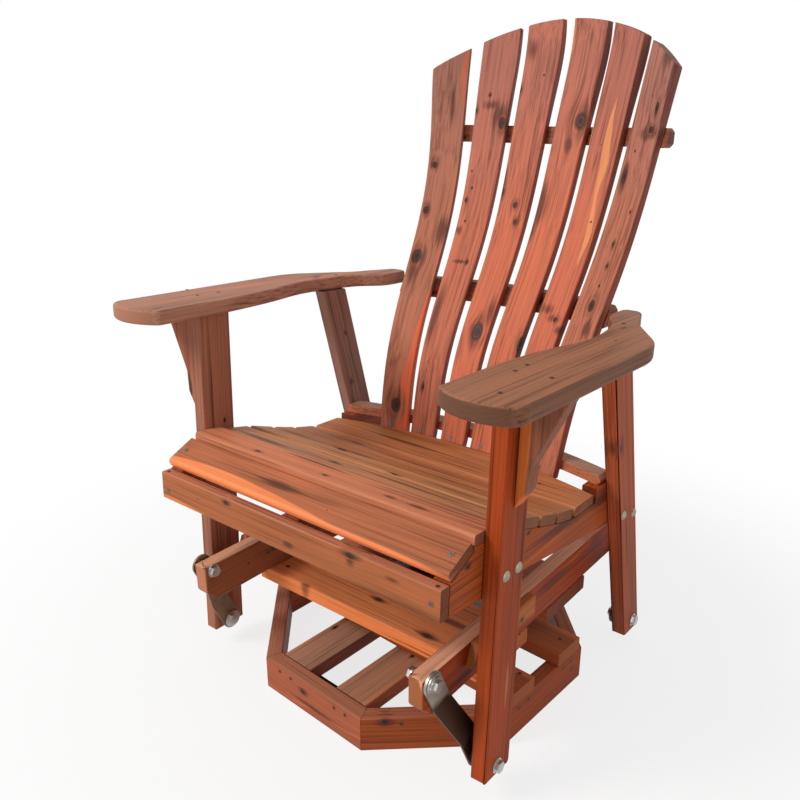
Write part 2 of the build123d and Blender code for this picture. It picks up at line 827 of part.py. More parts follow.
def arm(front_y, length, tail_share):
    """The left paddle arm: broad in front, hollowed inside, with a narrow tail beside the back."""

    def arm_point(across_share, along_share):
        return (arm_inner_x + across_share * arm_width, front_y + along_share * length)

    front_arc_shares = [(0.0, 0.043), (0.48, 0.0), (0.882, 0.017)]
    corner_arc_shares = [(0.882, 0.017), (0.975, 0.035), (1.0, 0.068)]
    shoulder_arc_shares = [(1.0, 0.583), (0.958, 0.658), (0.815, 0.718)]
    waist_arc_shares = [(0.412, 0.834), (0.335, 0.863), (0.294, 0.890)]
    tail_arc_shares = [(0.118, 0.973), (0.06, 0.995), (-0.059, 1.0)]
    tip_arc_shares = [(-0.12, 1.0), (tail_share * 0.886, 0.9915), (tail_share, 0.978)]
    hollow_shares = [
        (tail_share, 0.932),
        (0.017, 0.824),
        (0.193, 0.701),
        (0.235, 0.591),
        (0.126, 0.475),
        (0.025, 0.326),
        (0.0, 0.193),
    ]
    arcs = [
        front_arc_shares,
        corner_arc_shares,
        shoulder_arc_shares,
        waist_arc_shares,
        tail_arc_shares,
        tip_arc_shares,
    ]
    edges = []
    previous = None
    for shares in arcs:
        points = [arm_point(*pair) for pair in shares]
        if previous is not None and previous != points[0]:
            edges.append(Line(previous, points[0]))
        edges.append(ThreePointArc(*points))
        previous = points[-1]
    hollow = [arm_point(*pair) for pair in hollow_shares]
    edges.append(Line(previous, hollow[0]))
    edges.append(Spline(*hollow, tangents=[(0, -1), (0, -1)]))
    edges.append(Line(hollow[-1], arm_point(*front_arc_shares[0])))
    outline = make_face(Curve() + edges)
    return extrude(Plane.XY.offset(arm_underside) * outline, arm_thick)


def arm_bracket(setback):
    """A sawn bracket on the left front leg's outer face, seen from the front as (x, z)."""
    foot = arm_underside - bracket_height
    outline = Polyline(
        (leg_outer_x, foot),
        (leg_outer_x + bracket_foot_width, foot + bracket_foot_height),
        (leg_outer_x + bracket_neck_width, foot + bracket_neck_height),
        (leg_outer_x + bracket_reach, arm_underside),
        (leg_outer_x, arm_underside),
        close=True,
    )
    face = make_face(outline)
    neck = face.vertices().sort_by(Axis.Y)[1:3]
    face = fillet(neck, bracket_foot_width)
    front_y = front_leg_front_y + setback
    return extrude(Plane.XZ.offset(-front_y) * face, -bracket_thick)


def make_arms():
    left = arm(left_arm_front_y, left_arm_length, left_arm_tail_share)
    right = arm(right_arm_front_y, right_arm_length, right_arm_tail_share)
    save("arm_left", lean(left))
    save("arm_right", mirrored(lean(right)))
    save("arm_bracket_left", lean(arm_bracket(left_bracket_setback)))
    save("arm_bracket_right", mirrored(lean(arm_bracket(right_bracket_setback))))


make_base()
make_swivel()
make_carriage()
make_links()
make_legs()
make_seat()
make_back()
make_arms()
export_pieces()
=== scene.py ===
import json
import math
import random

import bmesh
import bpy
from bpy.props import FloatProperty, FloatVectorProperty, PointerProperty
from mathutils import Matrix, Vector
from mathutils.bvhtree import BVHTree


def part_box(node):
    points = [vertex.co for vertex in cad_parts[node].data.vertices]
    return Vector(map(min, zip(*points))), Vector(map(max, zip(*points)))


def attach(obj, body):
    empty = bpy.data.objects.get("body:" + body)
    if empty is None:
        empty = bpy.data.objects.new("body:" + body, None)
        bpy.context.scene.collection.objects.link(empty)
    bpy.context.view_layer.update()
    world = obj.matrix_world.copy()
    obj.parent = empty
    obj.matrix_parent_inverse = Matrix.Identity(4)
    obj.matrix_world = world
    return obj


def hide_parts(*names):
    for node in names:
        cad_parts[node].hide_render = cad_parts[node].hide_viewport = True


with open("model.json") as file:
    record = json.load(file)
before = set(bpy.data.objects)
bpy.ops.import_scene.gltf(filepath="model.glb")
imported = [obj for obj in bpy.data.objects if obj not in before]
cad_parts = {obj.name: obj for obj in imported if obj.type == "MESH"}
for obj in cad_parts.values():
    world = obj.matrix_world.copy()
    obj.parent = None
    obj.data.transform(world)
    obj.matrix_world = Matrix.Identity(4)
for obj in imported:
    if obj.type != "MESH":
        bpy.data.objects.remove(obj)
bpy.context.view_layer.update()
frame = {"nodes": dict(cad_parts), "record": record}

bl_info = {
    "name": "Adirondack Swivel Glider",
    "version": (1, 0, 0),
    "blender": (4, 5, 0),
    "location": "View3D > Sidebar > Glider",
    "description": "Dresses the boards and fittings of a gliding, turning adirondack chair",
    "category": "Object",
}

MM = 0.001
NODES = frame["nodes"]
BODY_OF = {
    node: body
    for body, nodes in frame["record"]["behaviour"]["bodies"].items()
    for node in nodes
}

# The swivel's axis, and the square frames that the boards were laid out in
PIN_LOW, PIN_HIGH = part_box("swivel_king_pin")
SWIVEL_Y = (PIN_LOW[1] + PIN_HIGH[1]) / 2
CARRIAGE_FRAME = Matrix.Translation((0, SWIVEL_Y, 0))
SEAT_FRAME = CARRIAGE_FRAME @ Matrix.Rotation(math.radians(-2.0), 4, "X")
BASE_FRAME = CARRIAGE_FRAME @ Matrix.Rotation(math.radians(-3.5), 4, "Z")

# Lines of the rear legs and of the nose slat, in the seat's frame
REAR_LEG_FOOT = Vector((0, 231.5, 33))
REAR_LEG_TOP = Vector((0, 42.4, 647))
NOSE_TILT = math.radians(26.6)

# Radii worked onto the long edges of boards, and onto their ends
FRAME_EDGE = 3 * MM
LEDGER_EDGE = 2 * MM
WORN_EDGE = 5 * MM
SMALL_EDGE = 2.5 * MM
HIDDEN_EDGE = 1.5 * MM
BOARD_END = 0.9 * MM
LEG_END = 2.4 * MM
RAIL_END = 3.6 * MM

# Angles in degrees: edges from the first are rounded, and those past the others are shaded sharp
EASED_FROM = 24
BOARD_SHARP = 50
METAL_SHARP = 35
SCREW_SHARP = 40

# Width of the strip in which a board's sapwood edges are drawn
PROFILE_SPAN = 0.16

# How often each layer of grain repeats along and across the board, per metre, and its detail
BROAD = (2.6, 11, 2.0)
CLOUD = (3.6, 46, 1.6)
STREAK = (1.3, 210, 1.2)
FIBRE = (7, 480, 1.5)

# The stain's own place on the ramp of tones, and what it becomes on both sides of it
STAIN_TONE = 0.53
STAIN_DARK = (0.42, 0.36, 0.36)
STAIN_DEEP = 0.76
STAIN_PALE = (1.22, 1.14, 1.14)
SMALL_KNOT = 2.5 * MM
WOOD_SHEEN = 0.16
WOOD_BUMP = 0.7
METAL_BUMP = 0.12

# A screw's head: rings as (share of its radius, rise), and the height and thickness of its slots
SCREW_STEPS = ((0.5, 0.35 * MM), (0.07, 0.3 * MM), (0.52, 0.12 * MM))
SLOT_HEIGHT = 0.78 * MM
SLOT_THICK = 0.12 * MM

WHITE = (1, 1, 1, 1)
LAMPS_AIM = Vector((0, 0, 0.5))
CAMERA_TILT = 70.163
CAMERA_TURN = 38.597

SIDES = ("left", "right")
ENDS = ("front", "rear")
ALONG_X = Vector((1, 0, 0))
ALONG_Y = Vector((0, 1, 0))
ALONG_Z = Vector((0, 0, 1))

# The bent line that the back slats follow, as (height, depth) in the seat's frame
BACK_BEND = [
    (0.3680, 0.1270), (0.4871, 0.1580), (0.6181, 0.2179), (0.6904, 0.2610), (0.7674, 0.3011),
    (0.9230, 0.3550), (1.1620, 0.4110),
]
# Each back slat's middle line, as x at the foot and at the top of the bend
SLAT_FOOT_X = {1: -0.1695, 2: -0.1035, 3: -0.0343, 4: 0.0343, 5: 0.1035, 6: 0.1695}
SLAT_TOP_X = {1: -0.2230, 2: -0.1341, 3: -0.0476, 4: 0.0476, 5: 0.1341, 6: 0.2230}


def srgb(red, green, blue):
    """A screen colour from 0 to 255 as the linear colour that shaders use."""
    channels = []
    for value in (red, green, blue):
        part = value / 255
        channels.append(part / 12.92 if part <= 0.04045 else ((part + 0.055) / 1.055) ** 2.4)
    return tuple(channels)


SCREW_ZINC = srgb(126, 116, 106)
STAINED_ZINC = srgb(84, 64, 52)
LINK_STAIN_HEIGHT = 0.188


def colour_setting(name, description, *screen):
    return FloatVectorProperty(
        name=name, description=description, subtype="COLOR", size=3, min=0, max=1, default=srgb(*screen))


class CedarSettings(bpy.types.PropertyGroup):
    stain: colour_setting("Stain", "Colour of the stained early wood", 200, 110, 84)
    sapwood: colour_setting("Sapwood", "Colour of the pale outer wood under the stain", 246, 142, 88)
    knot: colour_setting("Knot", "Colour of a knot's middle", 42, 29, 26)
    weathered: colour_setting("Weathered", "Colour that boards which face the sky turn to", 146, 98, 82)
    eased_edge: FloatProperty(
        name="Eased edge", description="Radius worked onto the long edges",
        unit="LENGTH", min=0, default=3.4 * MM)
    ring_spacing: FloatProperty(
        name="Ring spacing", description="Distance between two yearly rings",
        unit="LENGTH", min=1 * MM, default=6.5 * MM)


class FittingSettings(bpy.types.PropertyGroup):
    zinc: colour_setting("Zinc", "Colour of the plated steel", 196, 194, 190)
    screw_head: FloatProperty(
        name="Screw head", description="Diameter of a wood screw's head",
        unit="LENGTH", min=1 * MM, default=5.4 * MM)


class StageSettings(bpy.types.PropertyGroup):
    camera_place: FloatVectorProperty(
        name="Camera place", description="Where the camera stands, from the swivel's foot",
        subtype="TRANSLATION", size=3, default=(0.812, -1.081, 0.992))
    lens: FloatProperty(name="Lens", description="Focal length in millimetres", min=1, default=36.78)
    floor_width: FloatProperty(
        name="Floor width", description="Width of the pale floor", unit="LENGTH", min=1, default=9.0)
    key_power: FloatProperty(
        name="Key power", description="Power of the main lamp in watts", min=0, default=82.0)
    fill_power: FloatProperty(
        name="Fill power", description="Power of the side lamp in watts", min=0, default=10.0)
    sky: FloatProperty(
        name="Sky", description="Strength of the light from all round", min=0, default=0.5)


def maths(operation, swapped=False):
    """A method that adds one Math node to a wire."""
    def method(self, *others):
        inputs = [*others, self] if swapped else [self, *others]
        return self.finish.add("Math", {"operation": operation}, inputs)
    return method


class Wire:
    """A number or vector in a shader tree, on which Python arithmetic adds Math nodes."""

    def __init__(self, finish, socket):
        self.finish = finish
        self.socket = socket

    __add__ = __radd__ = maths("ADD")
    __sub__ = maths("SUBTRACT")
    __rsub__ = maths("SUBTRACT", swapped=True)
    __mul__ = __rmul__ = maths("MULTIPLY")
    __truediv__ = maths("DIVIDE")
    __pow__ = maths("POWER")
    __abs__ = maths("ABSOLUTE")
    root = maths("SQRT")
    sine = maths("SINE")
    least = maths("MINIMUM")
    most = maths("MAXIMUM")

    def wave(self):
        """The sine, moved to run from 0 to 1."""
        return self.sine() * 0.5 + 0.5

    def nearer(self, other):
        """The smaller of two distances, where the other may be missing."""
        return self if other is None else other.least(self)

    def step(self, low, high, start, stop):
        settings = {"interpolation_type": "SMOOTHSTEP"}
        return self.finish.add("MapRange", settings, [self, low, high, start, stop])

    def above(self, low, high):
        """0 below low, 1 above high, and a smooth step between them."""
        return self.step(low, high, 0.0, 1.0)

    def below(self, low, high):
        """1 below low, 0 above high."""
        return self.step(low, high, 1.0, 0.0)


class Finish:
    """A material in the making, or the world's light."""

    def __init__(self, name, world=None):
        self.material = world or bpy.data.materials.new(name)
        self.material.use_nodes = True
        self.tree = self.material.node_tree
        self.tree.nodes.clear()

    def add(self, kind, settings=None, inputs=(), output=0):
        """Adds a node: its settings first, then the values or wires of its sockets, by place or by name."""
        node = self.tree.nodes.new("ShaderNode" + kind)
        for key, value in (settings or {}).items():
            if key == "stops":
                self.set_stops(node.color_ramp, value)
            else:
                setattr(node, key, value)
        pairs = inputs.items() if isinstance(inputs, dict) else enumerate(inputs)
        for key, value in pairs:
            if isinstance(value, Wire):
                self.tree.links.new(value.socket, node.inputs[key])
            elif value is not None:
                node.inputs[key].default_value = value
        return Wire(self, node.outputs[output]) if node.outputs else None

    def set_stops(self, ramp, stops):
        while len(ramp.elements) < len(stops):
            ramp.elements.new(1.0)
        for element, (place, colour) in zip(ramp.elements, stops):
            element.position = place
            element.color = (*colour, 1.0)

    def split(self, vector):
        """The three numbers of a vector."""
        node = self.tree.nodes.new("ShaderNodeSeparateXYZ")
        self.tree.links.new(vector.socket, node.inputs[0])
        return [Wire(self, socket) for socket in node.outputs]

    def join(self, x, y, z):
        return self.add("CombineXYZ", None, [x, y, z])

    def noise(self, place, scale, detail=2.0, rough=0.5):
        return self.add("TexNoise", None, {
            "Vector": place, "Scale": scale, "Detail": detail, "Roughness": rough})

    def object_place(self):
        """The place on the piece, in metres."""
        return self.add("TexCoord", None, output=3)

    def vector(self, operation, *inputs, output=0):
        return self.add("VectorMath", {"operation": operation}, inputs, output)

    def seen(self):
        """1 on rays from the camera, and on those that steel mirrors or clear things let through."""
        rays = self.tree.nodes.new("ShaderNodeLightPath").outputs
        kinds = [Wire(self, rays["Is " + kind + " Ray"]) for kind in ("Camera", "Glossy", "Transmission")]
        return kinds[0].most(kinds[1]).most(kinds[2])

    def ellipse(self, grain, along, across, half_length, half_width):
        """Distance from a spot on the board, 1 on the ellipse round it."""
        scale = (1 / half_length, 1 / half_width, 0.0)
        start = (-along / half_length, -across / half_width, 0.0)
        return self.vector("LENGTH", self.vector("MULTIPLY_ADD", grain, scale, start), output=1)

    def profile(self, along, points):
        """A smooth line through (along, across) points, as the across value at each place."""
        start, stop = points[0][0], points[-1][0]
        centre = sum(b for a, b in points) / len(points)
        node = self.tree.nodes.new("ShaderNodeFloatCurve")
        curve = node.mapping.curves[0]
        places = [((a - start) / (stop - start), (b - centre) / PROFILE_SPAN + 0.5) for a, b in points]
        for index, place in enumerate(places):
            if index < 2:
                curve.points[index].location = places[0] if index == 0 else places[-1]
            else:
                curve.points.new(*places[index - 1])
        node.mapping.update()
        part = (along - start) / (stop - start)
        self.tree.links.new(part.socket, node.inputs[1])
        return (Wire(self, node.outputs[0]) - 0.5) * PROFILE_SPAN + centre

    def blend(self, amount, first, second):
        """A colour between two colours."""
        values = {0: amount, 6: first, 7: second}
        values = {k: (*v, 1.0) if isinstance(v, tuple) else v for k, v in values.items()}
        settings = {"data_type": "RGBA", "clamp_factor": True}
        return self.add("Mix", settings, values, output=2)

    def shade(self, colour, roughness, metallic, height=None, bump=0.0, sheen=0.5):
        """Ends the material with one shader. sheen is how strongly a non-metal mirrors."""
        inputs = {"Base Color": (*colour, 1.0) if isinstance(colour, tuple) else colour,
                  "Roughness": roughness, "Metallic": metallic, "Specular IOR Level": sheen}
        if height is not None:
            inputs["Normal"] = self.add("Bump", None, {
                "Strength": bump, "Distance": 1 * MM, "Height": height})
        surface = self.add("BsdfPrincipled", None, inputs)
        self.add("OutputMaterial", None, [surface])
        return self.material


def tinted(colour, change):
    """A colour made darker or paler, by one number or by one for each channel."""
    changes = change if isinstance(change, tuple) else (change,) * 3
    return tuple(channel * part for channel, part in zip(colour, changes))


def round_knots(f, grain, across, knots, smudges):
    """The line of the grain, swung round each knot, and the distances from knots and from smudges."""
    flow = across
    core = shadow = None
    for k_along, k_across, radius, stretch in knots:
        size = f.ellipse(grain, k_along, k_across, radius * stretch, radius)
        flow = flow - (across - k_across) * size.below(0.4, 3.4) * 0.62
        core = size.nearer(core)
        if radius > SMALL_KNOT:
            smear = f.ellipse(grain, k_along, k_across, radius * stretch * 2.5, radius * 1.8)
            shadow = smear.nearer(shadow)
    for spot in smudges:
        shadow = f.ellipse(grain, *spot).nearer(shadow)
    return flow, core, shadow


def cedar(name, seed, heart, stain, top=None, cut=None, sap=None, knots=(), smudges=(), bands=(), grey=0.0,
          fade=None, flank=None, end=ALONG_X):
    """Stained knotty cedar for one board, in the board's own grain coordinates in metres.

    heart is the pith's place beside the board as (across, through). stain is the colour of the early
    wood, top that of faces that look up, which holds weathering and painted sky light on them,
    cut that of the end grain, and sap that of pale sapwood.
    Knots are (along, across, radius, stretch), smudges are (along, across, half length, half
    width), and bands of sapwood are (strength, [(along, low edge, high edge), ...]). grey is how far
    the weather has bleached the board. fade is (low, high, change of colour) along it, and flank is the
    painted shade, as a change of colour, on the faces that look sideways. end is the way that the end grain
    faces.
    """
    wood = bpy.context.scene.cedar_settings
    sap = sap or tuple(wood.sapwood)
    f = Finish(name)
    grain = f.add("Attribute", {"attribute_name": "grain"}, output=1)
    along, across, through = f.split(grain)
    flow, core, shadow = round_knots(f, grain, across, knots, smudges)
    shift = random.Random(seed).uniform(1, 9)

    def layer(line, scales, rough=0.5, aside=0.0):
        """A noise drawn out along the grain, moved aside along the board or across it."""
        lengthwise, crosswise, detail = scales
        spot = (along * lengthwise, line * crosswise + aside) if aside else (
            along * lengthwise + shift, line * crosswise)
        return f.noise(f.join(*spot, through * crosswise), 1.0, detail, rough)

    broad = layer(across, BROAD)
    cloud = layer(flow, CLOUD)
    streak = layer(flow, STREAK)
    fibre = layer(flow, FIBRE, 0.6, aside=shift)

    side = flow - heart[0] + (broad - 0.5) * 0.03
    deep = through - heart[1] + (cloud - 0.5) * 0.006
    rings = (side * side + deep * deep).root() * (2 * math.pi / wood.ring_spacing) + cloud * 3
    late = rings.wave() ** 4.0 * broad.above(0.38, 0.62)

    tone = (broad - 0.5) * 0.5 + (cloud - 0.5) * 0.42 + (streak - 0.5) * 0.56 + (fibre - 0.5) * 0.72
    tone = tone * 1.15 + late * -0.12 + STAIN_TONE
    dark = tinted(stain, STAIN_DARK)
    colour = f.add("ValToRGB", {"stops": [
        (0.20, dark),
        (0.40, tinted(stain, STAIN_DEEP)),
        (STAIN_TONE, stain),
        (0.80, tuple(min(1.0, channel) for channel in tinted(stain, STAIN_PALE))),
    ]}, [tone])
    if fade is not None:
        low, high, change = fade
        faded = (along + (cloud - 0.5) * 0.1).above(low, high)
        colour = f.blend(faded, colour, f.vector("MULTIPLY", colour, change))
    facing = f.add("TexCoord", None, output=1)
    # Painted shade on the faces that look sideways
    if flank is not None:
        sideways = abs(f.split(facing)[0]).above(0.6, 0.9)
        colour = f.blend(sideways, colour, f.vector("MULTIPLY", colour, flank))
    # Faces that look up take the top colour: partly weathering, partly painted sky light
    if top is not None:
        top_weather_and_light = tuple(t / s for t, s in zip(top, stain))
        colour = f.blend(f.split(facing)[2].above(0.35, 0.8), colour, f.vector("MULTIPLY", colour, top_weather_and_light))
    if grey:
        bleached = cloud.above(0.25, 0.7) * 0.35 * grey + grey * 0.3
        colour = f.blend(bleached, colour, tuple(wood.weathered))

    for strength, outline in bands:
        low = across - f.profile(along, [(a, b) for a, b, c in outline])
        high = f.profile(along, [(a, c) for a, b, c in outline]) - across
        ragged = low.least(high) + (streak - 0.5) * 0.006 + (cloud - 0.5) * 0.004
        pale = f.blend((streak - 0.5) * 2 + 0.3, sap, tinted(sap, 0.74))
        colour = f.blend(ragged.above(-1.2 * MM, 2.2 * MM) * strength, colour, pale)

    height = fibre * 0.35 + streak * 0.4 - late * 0.35
    rough = fibre * 0.14 + cloud * 0.12 + 0.44
    if shadow is not None:
        soft = shadow + (cloud - 0.5) * 1.1 + (streak - 0.5) * 1.2
        colour = f.blend(soft.below(0.25, 1.2) * 0.8, colour, tuple(c * 0.4 + 0.008 for c in dark))
    if core is not None:
        uneven = core + (cloud - 0.5) * 1.0 + (streak - 0.5) * 0.5
        glint = uneven.above(0.95, 1.15) * uneven.below(1.2, 1.6) * streak.above(0.42, 0.6)
        colour = f.blend(glint * 0.16, colour, sap)
        colour = f.blend(uneven.below(0.66, 1.16) * 0.92, colour, tuple(wood.knot))
        years = (uneven * 15).wave() * uneven.below(0.8, 1.0)
        colour = f.blend(years * 0.16, colour, tinted(stain, 0.8))
        colour = f.blend(uneven.below(0.05, 0.5) * 0.6, colour, tinted(wood.knot, 0.3))
        height = height - uneven.below(0.5, 1.1) * 0.8
        rough = rough - uneven.below(0.6, 1.1) * 0.1

    # Cut ends drink more stain
    end_on = f.vector("DOT_PRODUCT", facing, tuple(end), output=1)
    arcs = rings.wave() * 0.1 + (cloud - 0.5) * 0.5 + (0.8 if cut is None else 0.9)
    colour = f.blend(abs(end_on).above(0.6, 0.92) * arcs, colour, cut or tinted(dark, 0.8))
    return f.shade(colour, rough, 0.0, height, WOOD_BUMP, sheen=WOOD_SHEEN)


def zinc_steel(name, dull, grime, colour=None, stained_below=None):
    """Plated steel with a faint crystal pattern, handling marks and dirt, stained up to a height."""
    f = Finish(name)
    place = f.object_place()
    spangle = f.add("TexVoronoi", None, {"Vector": place, "Scale": 420.0}, output=1)
    patch = f.noise(place, 70.0, 3.0, 0.6)
    rub = f.noise(place, 900.0, 2.0, 0.6)
    tint = f.split(spangle)[0]
    colour = tuple(colour or bpy.context.scene.fitting_settings.zinc)
    base = f.blend((tint - 0.5) * 0.16 + 0.1, colour, tinted(colour, 0.7))
    base = f.blend(patch.above(0.48, 0.72) * grime, base, tinted(colour, 0.42))
    if stained_below is not None:
        height = f.split(place)[2] + (patch - 0.5) * 0.02
        darkened = height.below(stained_below - 0.012, stained_below + 0.004)
        base = f.blend(darkened, base, STAINED_ZINC)
    rough = patch * 0.22 + dull + tint * 0.06
    return f.shade(base, rough, 1.0, rub * 0.4 + patch * 0.6, METAL_BUMP)


def ball_steel():
    """Bright balls under a thin film of oil."""
    f = Finish("polished_bearing_steel")
    film = f.noise(f.object_place(), 160.0)
    colour = f.blend(film.above(0.4, 0.7) * 0.3, srgb(214, 214, 216), srgb(150, 146, 140))
    return f.shade(colour, film * 0.12 + 0.08, 1.0)


def screw_recess():
    """Painted shade for a screw's slots and countersink, and for whole sunk screws that show as dark holes.
    """
    f = Finish("screw_recess_shadow")
    shade_mottle = f.noise(f.object_place(), 500.0)
    return f.shade(f.blend(shade_mottle, srgb(34, 25, 22), srgb(62, 46, 39)), shade_mottle * 0.2 + 0.5, 0.0)


def piece_from(shape, name):
    """Makes a bmesh into an object at the origin."""
    mesh = bpy.data.meshes.new(name)
    shape.to_mesh(mesh)
    shape.free()
    piece = bpy.data.objects.new(name, mesh)
    bpy.context.scene.collection.objects.link(piece)
    return piece


def smooth_faces(piece, sharp):
    """Smooth shading, broken at edges sharper than an angle, with large faces kept flat."""
    mesh = piece.data
    mesh.shade_smooth()
    mesh.set_sharp_from_angle(angle=math.radians(sharp))
    flatten = piece.modifiers.new("flat faces", "WEIGHTED_NORMAL")
    flatten.weight = 100  # by area alone
    flatten.keep_sharp = True


def solid_of(node):
    """A clean copy of a CAD node, with its loose triangles joined into faces."""
    shape = bmesh.new()
    shape.from_mesh(NODES[node].data)
    bmesh.ops.remove_doubles(shape, verts=shape.verts, dist=0.01 * MM)
    bmesh.ops.dissolve_limit(
        shape, angle_limit=math.radians(0.4), verts=shape.verts, edges=shape.edges, delimit={"NORMAL"})
    return shape


def ease(shape, radius, shortest, segments, keep=None):
    """Rounds the sharp edges that are long enough."""
    edges = [
        edge for edge in shape.edges
        if len(edge.link_faces) == 2
        and edge.calc_face_angle(0) > math.radians(EASED_FROM)
        and edge.calc_length() > shortest
        and (keep is None or keep(edge))
    ]
    bmesh.ops.bevel(
        shape, geom=edges, offset=radius, offset_type="OFFSET", segments=segments, profile=0.5,
        affect="EDGES", clamp_overlap=False, material=-1)


def write_grain(piece, rule):
    """Stores each vertex's place along, across and through the board."""
    values = []
    for vertex in piece.data.vertices:
        values.extend(rule(vertex.co))
    layer = piece.data.attributes.new("grain", "FLOAT_VECTOR", "POINT")
    layer.data.foreach_set("vector", values)


def board_rule(place, along, across):
    """Grain coordinates of a straight board, in one of the square frames."""
    back = place.inverted()
    through = along.cross(across)

    def rule(point):
        local = back @ point
        return local.dot(along), local.dot(across), local.dot(through)
    return rule


def bend_depth(height):
    """Depth of the back's bent middle line at a height."""
    low, high = BACK_BEND[0], BACK_BEND[1]
    for index in range(1, len(BACK_BEND)):
        if height > BACK_BEND[index - 1][0]:
            low, high = BACK_BEND[index - 1], BACK_BEND[index]
    part = (height - low[0]) / (high[0] - low[0])
    return low[1] + part * (high[1] - low[1])


def slat_rule(number):
    """Grain coordinates of a bent, tapering back slat."""
    back = SEAT_FRAME.inverted()
    foot_z, top_z = BACK_BEND[0][0], BACK_BEND[-1][0]

    def rule(point):
        local = back @ point
        share = (local.z - foot_z) / (top_z - foot_z)
        middle = SLAT_FOOT_X[number] + share * (SLAT_TOP_X[number] - SLAT_FOOT_X[number])
        return local.z, local.x - middle, local.y - bend_depth(local.z)
    return rule


def chance_knots(seed, length, width, count):
    """Knots scattered over a board that has none listed, between its low and high ends."""
    chance = random.Random(seed)
    knots = []
    for step in range(count):
        u = length[0] + (step + chance.uniform(0.15, 0.85)) / count * (length[1] - length[0])
        v = chance.uniform(width[0] + 0.008, width[1] - 0.008)
        knots.append((u, v, chance.uniform(2.5, 6.5) * MM, chance.uniform(1.1, 1.9)))
    return knots


def look_of(node):
    """What the table of looks says of a board, in linear colours and in metres."""
    look = {"stain": tuple(bpy.context.scene.cedar_settings.stain)}
    for key, value in BOARD_LOOKS.get(node, {}).items():
        if key in ("stain", "top", "cut", "sap"):
            value = srgb(*value)
        elif key == "knots":
            value = [(a * MM, b * MM, radius * MM, stretch) for a, b, radius, stretch in value]
        elif key == "smudges":
            value = [tuple(length * MM for length in spot) for spot in value]
        elif key == "bands":
            value = [(strength, [tuple(length * MM for length in point) for point in outline])
                     for strength, outline in value]
        look[key] = value
    if node.startswith("back_slat"):
        look.update(fade=SLAT_FADE, flank=SLAT_SIDE_SHADE)
    return look


def cedar_board(node, place, along, across, radius=None, shortest=3.5 * MM, ends=BOARD_END, rule=None):
    """Replaces a node by the same board with eased edges, its grain and its own cedar.

    place is the square frame that the board was laid out in. Without ends, all edges get the radius.
    """
    if radius is None:
        radius = bpy.context.scene.cedar_settings.eased_edge
    shape = solid_of(node)
    direction = (place.to_3x3() @ along).normalized()

    def runs_along(edge):
        line = (edge.verts[1].co - edge.verts[0].co).normalized()
        return abs(line.dot(direction)) > 0.75

    if ends is None:
        ease(shape, radius, shortest, 3)
    else:
        ease(shape, radius, shortest, 3, runs_along)
        ease(shape, ends, ends, 2, lambda edge: not runs_along(edge) and edge.calc_length() > 1.2 * MM
             and not near_hole(edge))
    piece = piece_from(shape, "cedar_" + node)
    smooth_faces(piece, BOARD_SHARP)
    rule = rule or board_rule(place, along, across)
    write_grain(piece, rule)

    spots = [rule(vertex.co) for vertex in piece.data.vertices]
    low = [min(spot[i] for spot in spots) for i in range(3)]
    high = [max(spot[i] for spot in spots) for i in range(3)]
    seed = sum(ord(letter) * (place_in + 1) for place_in, letter in enumerate(node))
    chance = random.Random(seed)
    look = look_of(node)
    side = chance.choice((-1, 1))
    heart = ((low[1] + high[1]) / 2 + chance.uniform(-0.03, 0.03),
             (low[2] + high[2]) / 2 + side * chance.uniform(0.05, 0.14))
    if "knots" not in look:
        count = max(1, round((high[0] - low[0]) / 0.24))
        look["knots"] = chance_knots(seed, (low[0], high[0]), (low[1], high[1]), count)
    if "bands" not in look and chance.random() < 0.3:
        edge = chance.choice((low[1], high[1]))
        reach = [chance.uniform(0.004, 0.016) for step in range(4)]
        places = [low[0] + share * (high[0] - low[0]) for share in (0, 0.33, 0.66, 1)]
        look["bands"] = [(chance.uniform(0.3, 0.7), [
            (place, edge - width, edge + width) for place, width in zip(places, reach)])]
    piece.data.materials.append(cedar("cedar_of_" + node, seed, heart, end=direction, **look))
    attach(piece, BODY_OF[node])
    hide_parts(node)
    return piece


def near_hole(edge):
    """Edges round a bolt hole are short pieces of a small circle, and stay sharp under the washers."""
    return edge.calc_length() < 3.4 * MM and all(len(vert.link_edges) <= 4 for vert in edge.verts)


def dressed_metal(node, material, radius=0.0):
    """Gives a fitting its finish, and breaks its sharp edges when a radius is given."""
    shape = solid_of(node)
    if radius:
        ease(shape, radius, radius * 3, 2)
    piece = piece_from(shape, "dressed_" + node)
    smooth_faces(piece, METAL_SHARP)
    piece.data.materials.append(material)
    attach(piece, BODY_OF[node])
    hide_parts(node)
    return piece


def shared_material(name, make):
    """One material for all the pieces that have it."""
    return bpy.data.materials.get(name) or make()


def add_screw(shape, place, normal, size):
    """One cross-slotted screw head, standing a little above the wood."""
    radius = bpy.context.scene.fitting_settings.screw_head / 2 * size
    turn = Vector(normal).to_track_quat("Z", "Y").to_matrix().to_4x4()
    at = Matrix.Translation(place) @ turn
    rim = bmesh.ops.create_circle(shape, cap_ends=True, segments=18, radius=radius * 1.55, matrix=at)
    face = rim["verts"][0].link_faces[0]
    # The outer ring takes the second material: painted shade of the countersink round the head
    face.material_index = 1
    for share, depth in SCREW_STEPS:
        bmesh.ops.inset_region(
            shape, faces=[face], thickness=radius * share, depth=depth, use_even_offset=True)
        face.material_index = 0
    # Cross slots in the second material: painted shade inside the slots
    for turn_by in (0.4, 0.4 + math.pi / 2):
        slot_at = at @ Matrix.Translation((0, 0, SLOT_HEIGHT)) @ Matrix.Rotation(turn_by, 4, "Z")
        size = Matrix.Diagonal((radius * 1.15, radius * 0.26, SLOT_THICK, 1))
        box = bmesh.ops.create_cube(shape, size=1.0, matrix=slot_at @ size)
        for vert in box["verts"]:
            for side in vert.link_faces:
                side.material_index = 1


